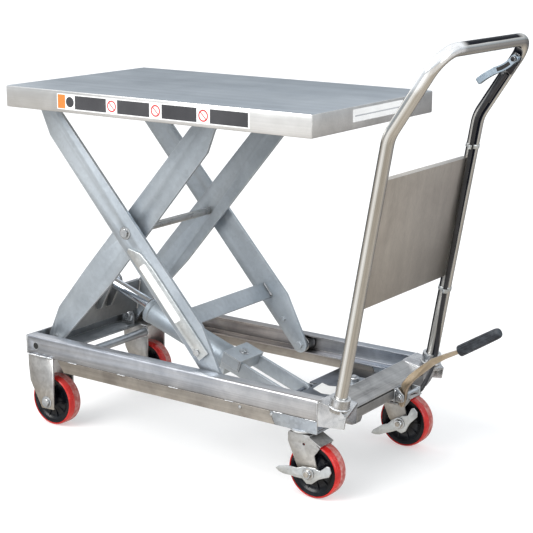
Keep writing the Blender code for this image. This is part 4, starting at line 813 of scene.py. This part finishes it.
def lever_section(t):
    swell = min(1.0, max(0.0, (t - 0.50) / 0.12))
    wide = 0.0070 - 0.0012 * max(0.0, (t - 0.965) / 0.035)
    top = 0.0076 - 0.0012 * swell - 0.0014 * max(0.0, (t - 0.965) / 0.035)
    floor = -0.0056 + (top - 0.0007 + 0.0056) * swell
    return [(-wide, -0.0072), (wide, -0.0072), (wide, top), (wide - 0.0014, top), (wide - 0.0014, floor), (-wide + 0.0014, floor), (-wide + 0.0014, top), (-wide, top)]


steps = [k / 48 for k in range(49)]
piece = finish("folded_lever", lever_sweep(steps, lever_section), BLUED, "release", 35, bevel=0.0003)
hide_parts("release_lever")
# painted shade: dark strips on the floor of the lever's channel and along its slot
finish("lever_channel", lever_sweep([0.05 + 0.43 * k / 20 for k in range(21)], lambda t: [(-0.0054, -0.0055), (0.0054, -0.0055), (0.0054, -0.0050), (-0.0054, -0.0050)]), SHADE_BLACK, "release", 35)
finish("lever_slot", lever_sweep([0.13 + 0.33 * k / 16 for k in range(17)], lambda t: [(-0.0072, -0.0036), (-0.0068, -0.0036), (-0.0068, 0.0044), (-0.0072, 0.0044)]), SHADE_BLACK, "release", 35)
finish("lever_boss", lathe([(0.0036, 0.0), (0.0078, 0.0), (0.0084, 0.0006), (0.0084, 0.0130), (0.0078, 0.0136), (0.0036, 0.0136)], at(1.0937, 0.1537, 0.9326), (0, 1, 0), 40), BLUED, "release", 30)
for k in range(6):
    share = 0.66 + k * 0.055
    along = (lever_place(share + 0.01) - lever_place(share - 0.01)).normalized()
    up = Vector((0, 1, 0)).cross(along)
    if up.z < 0:
        up = -up
    centre = lever_place(share) + up * 0.0065
    bm = bmesh.new()
    bmesh.ops.create_cube(bm, size=1.0)
    for v in bm.verts:
        v.co = centre + along * v.co.x * 0.0016 + Vector((0, 1, 0)) * v.co.y * 0.0112 + up * v.co.z * 0.0014
    finish(f"lever_rib_{k}", bm, BLUED, "release", 35, bevel=0.0003)

# ---------------------------------------------------------------- labels, all blank
def sticker(name, outline, origin, u, v, look, body, thick=0.0003, corner=0.002):
    made = finish(name, plate(rounded(outline, corner, 4), origin, u, v, thick), look, body, 35)
    return made


def rect(a0, a1, b0, b1):
    return [(a0, b0), (a1, b0), (a1, b1), (a0, b1)]


skin = -0.25003
origin = at(0, skin, 0)
x_a, x_b = 0.157, 0.697


def along_strip(f):
    return x_a + (x_b - x_a) * f


sticker("strip_near", rect(x_a, x_b, 0.7965, 0.8320), origin, (1, 0, 0), (0, 0, 1), LABEL, "platform", 0.00014)
sticker("strip_orange", rect(along_strip(0.004), along_strip(0.046), 0.7985, 0.8300), origin, (1, 0, 0), (0, 0, 1), ORANGE_INK, "platform", 0.0002, 0.0008)
sticker("strip_sign", [(along_strip(0.072) + 0.012 * math.cos(t / 20 * math.pi * 2), 0.8142 + 0.012 * math.sin(t / 20 * math.pi * 2)) for t in range(20)], origin, (1, 0, 0), (0, 0, 1), INK, "platform", 0.0002, 0.0002)
for k, (a, b) in enumerate(((0.100, 0.272), (0.332, 0.502), (0.566, 0.742), (0.808, 0.992))):
    sticker(f"strip_block_{k}", rect(along_strip(a), along_strip(b), 0.7990, 0.8296), origin, (1, 0, 0), (0, 0, 1), INK, "platform", 0.0002, 0.0008)
for k, f in enumerate((0.302, 0.534, 0.775)):
    ring = lathe([(0.0098, 0.0), (0.0130, 0.0), (0.0130, 0.0002), (0.0098, 0.0002)], at(along_strip(f), skin, 0.8142), (0, -1, 0), 48)
    finish(f"strip_ring_{k}", ring, RED_INK, "platform", 35)
    bar = [(along_strip(f) + a * 0.70711 - b * 0.70711, 0.8142 - a * 0.70711 - b * 0.70711) for a, b in ((-0.010, -0.0011), (0.010, -0.0011), (0.010, 0.0011), (-0.010, 0.0011))]
    sticker(f"strip_bar_{k}", bar, origin, (1, 0, 0), (0, 0, 1), RED_INK, "platform", 0.0002, 0.0002)
sticker("label_end", rect(-0.094, 0.114, 0.8050, 0.8320), at(0.85028, 0, 0), (0, 1, 0), (0, 0, 1), LABEL, "platform", 0.0003)
sticker("label_end_bar", rect(-0.086, 0.106, 0.8160, 0.8190), at(0.85028, 0, 0), (0, 1, 0), (0, 0, 1), GREY_INK, "platform", 0.00036, 0.0008)
sticker("label_prop", [(0.333, 0.436), (0.349, 0.447), (0.454, 0.331), (0.437, 0.319)], at(0, -0.1814, 0), (1, 0, 0), (0, 0, 1), LABEL, "prop", 0.0004, 0.004)
sticker("label_deck", [(0.6789, 0.0660), (0.6852, 0.0178), (0.7193, 0.0008), (0.7509, 0.0066), (0.7240, 0.0640), (0.7044, 0.0557)], at(0, 0, 0.1565), (1, 0, 0), (0, 1, 0), LABEL, "base", 0.0004, 0.003)

# ================================================================ stage, light, camera
def stage_plane(name, size, look):
    bm = bmesh.new()
    bmesh.ops.create_grid(bm, x_segments=8, y_segments=8, size=size)
    mesh = bpy.data.meshes.new(name)
    bm.to_mesh(mesh)
    bm.free()
    made = bpy.data.objects.new(name, mesh)
    SCENE.collection.objects.link(made)
    mesh.materials.append(look)
    return made


floor_look, nodes, links = new_material("pale_floor")
out = nodes.new("ShaderNodeOutputMaterial")
shader = nodes.new("ShaderNodeBsdfPrincipled")
links.new(shader.outputs[0], out.inputs[0])
speck = noise_tex(nodes, links, mapping(nodes, links, (1, 1, 1)), 6.0, 4.0, 0.6)
links.new(ramp(nodes, links, speck, [(0.3, (0.60, 0.60, 0.60)), (0.7, (0.64, 0.64, 0.64))]), shader.inputs["Base Color"])
shader.inputs["Roughness"].default_value = 0.9
shader.inputs["Emission Color"].default_value = (1.0, 1.0, 1.0, 1.0)
shader.inputs["Emission Strength"].default_value = 0.42
shader.inputs["Specular IOR Level"].default_value = 0.1
floor = stage_plane("floor", 60.0, floor_look)
floor.location.z = -0.0002
floor.visible_glossy = False

world = bpy.data.worlds.new("studio")
SCENE.world = world
world.use_nodes = True
nodes, links = world.node_tree.nodes, world.node_tree.links
nodes.clear()
out = nodes.new("ShaderNodeOutputWorld")
back = nodes.new("ShaderNodeBackground")
links.new(back.outputs[0], out.inputs[0])
coords = nodes.new("ShaderNodeTexCoord")
split = nodes.new("ShaderNodeSeparateXYZ")
links.new(coords.outputs["Generated"], split.inputs[0])
up = math_node(nodes, links, "MULTIPLY_ADD", split.outputs["Z"], 0.5, 0.5)
sky = ramp(nodes, links, up, [(0.50, (0.20, 0.22, 0.23)), (0.53, (0.36, 0.40, 0.44)), (0.60, (0.50, 0.55, 0.60)), (0.68, (0.90, 0.94, 0.98)), (1.0, (0.98, 1.0, 1.03))])
round_about = math_node(nodes, links, "MULTIPLY_ADD", math_node(nodes, links, "ARCTAN2", split.outputs["Y"], split.outputs["X"]), 1 / (2 * math.pi), 0.5)
walls = ramp(nodes, links, round_about, [(0.00, (0.20, 0.19, 0.18)), (0.06, (0.50, 0.47, 0.42)), (0.13, (1.02, 1.02, 1.02)), (0.20, (1.10, 1.10, 1.09)), (0.265, (1.0, 0.99, 0.96)), (0.30, (0.50, 0.47, 0.42)),
                                         (0.40, (0.46, 0.42, 0.36)), (0.50, (0.62, 0.58, 0.52)), (0.58, (0.50, 0.48, 0.45)), (0.64, (0.46, 0.45, 0.45)), (0.71, (0.26, 0.26, 0.27)), (0.79, (0.05, 0.05, 0.055)),
                                         (0.90, (0.035, 0.035, 0.04)), (0.96, (0.07, 0.07, 0.07)), (1.0, (0.20, 0.19, 0.18))])
ground = mix_colour(nodes, links, ramp(nodes, links, up, [(0.18, 1.0), (0.34, 0.0)]), walls, (0.62, 0.57, 0.50))
sky = mix_colour(nodes, links, ramp(nodes, links, up, [(0.485, 0.0), (0.515, 1.0)]), ground, sky)
card = math_node(nodes, links, "MULTIPLY", ramp(nodes, links, round_about, [(0.885, 0.0), (0.90, 1.0), (0.965, 1.0), (0.98, 0.0)]), ramp(nodes, links, up, [(0.53, 0.0), (0.55, 1.0), (0.72, 1.0), (0.76, 0.0)]))
sky = mix_colour(nodes, links, card, sky, (1.5, 1.5, 1.5))
clouds = noise_tex(nodes, links, coords.outputs["Generated"], 2.6, 3.0, 0.5)
sky = mix_colour(nodes, links, 1.0, sky, ramp(nodes, links, clouds, [(0.36, 0.70), (0.60, 1.0)]), "MULTIPLY")
links.new(sky, back.inputs["Color"])
back.inputs["Strength"].default_value = 1.0


def area(name, place, target, size, power, colour=(1, 1, 1)):
    light = bpy.data.lights.new(name, "AREA")
    light.shape = "RECTANGLE"
    light.size, light.size_y = size
    light.energy = power
    light.color = colour
    made = bpy.data.objects.new(name, light)
    made.location = place
    made.rotation_euler = (Vector(target) - Vector(place)).to_track_quat("-Z", "Y").to_euler()
    SCENE.collection.objects.link(made)
    return made


sun = bpy.data.lights.new("soft_sun", "SUN")
sun.energy = 1.6
sun.angle = math.radians(50)
sun.color = (1.0, 0.985, 0.96)
sun_object = bpy.data.objects.new("soft_sun", sun)
sun_object.rotation_euler = Vector((0.35, 0.75, -1.0)).to_track_quat("-Z", "Y").to_euler()
SCENE.collection.objects.link(sun_object)
area("key_softbox", (-1.2, -3.2, 2.6), (0, 0, 0.45), (2.6, 1.8), 60, (1.0, 0.99, 0.97))
area("side_softbox", (3.4, -0.6, 1.8), (0.2, 0, 0.45), (1.8, 2.2), 40, (0.97, 0.985, 1.0))

camera = bpy.data.cameras.new("camera")
camera.sensor_width = 36.0
camera.lens = 36.0 * 1443.76 / 533.0
camera_object = bpy.data.objects.new("camera", camera)
forward, right, upward = Vector((-0.5589, 0.7944, -0.2379)), Vector((0.8179, 0.5754, 0.0)), Vector((-0.1369, 0.1946, 0.9713))
roll = Matrix.Rotation(math.radians(-0.17), 3, forward)
right, upward = roll @ right, roll @ upward
turn = Matrix((right, upward, -forward)).transposed().to_4x4()
camera_object.matrix_world = Matrix.Translation(Vector((2.43274 + X0, -2.65581, 1.23068))) @ turn
SCENE.collection.objects.link(camera_object)
SCENE.camera = camera_object

SCENE.view_settings.view_transform = "Standard"
SCENE.view_settings.look = "None"
SCENE.view_settings.exposure = 0.0
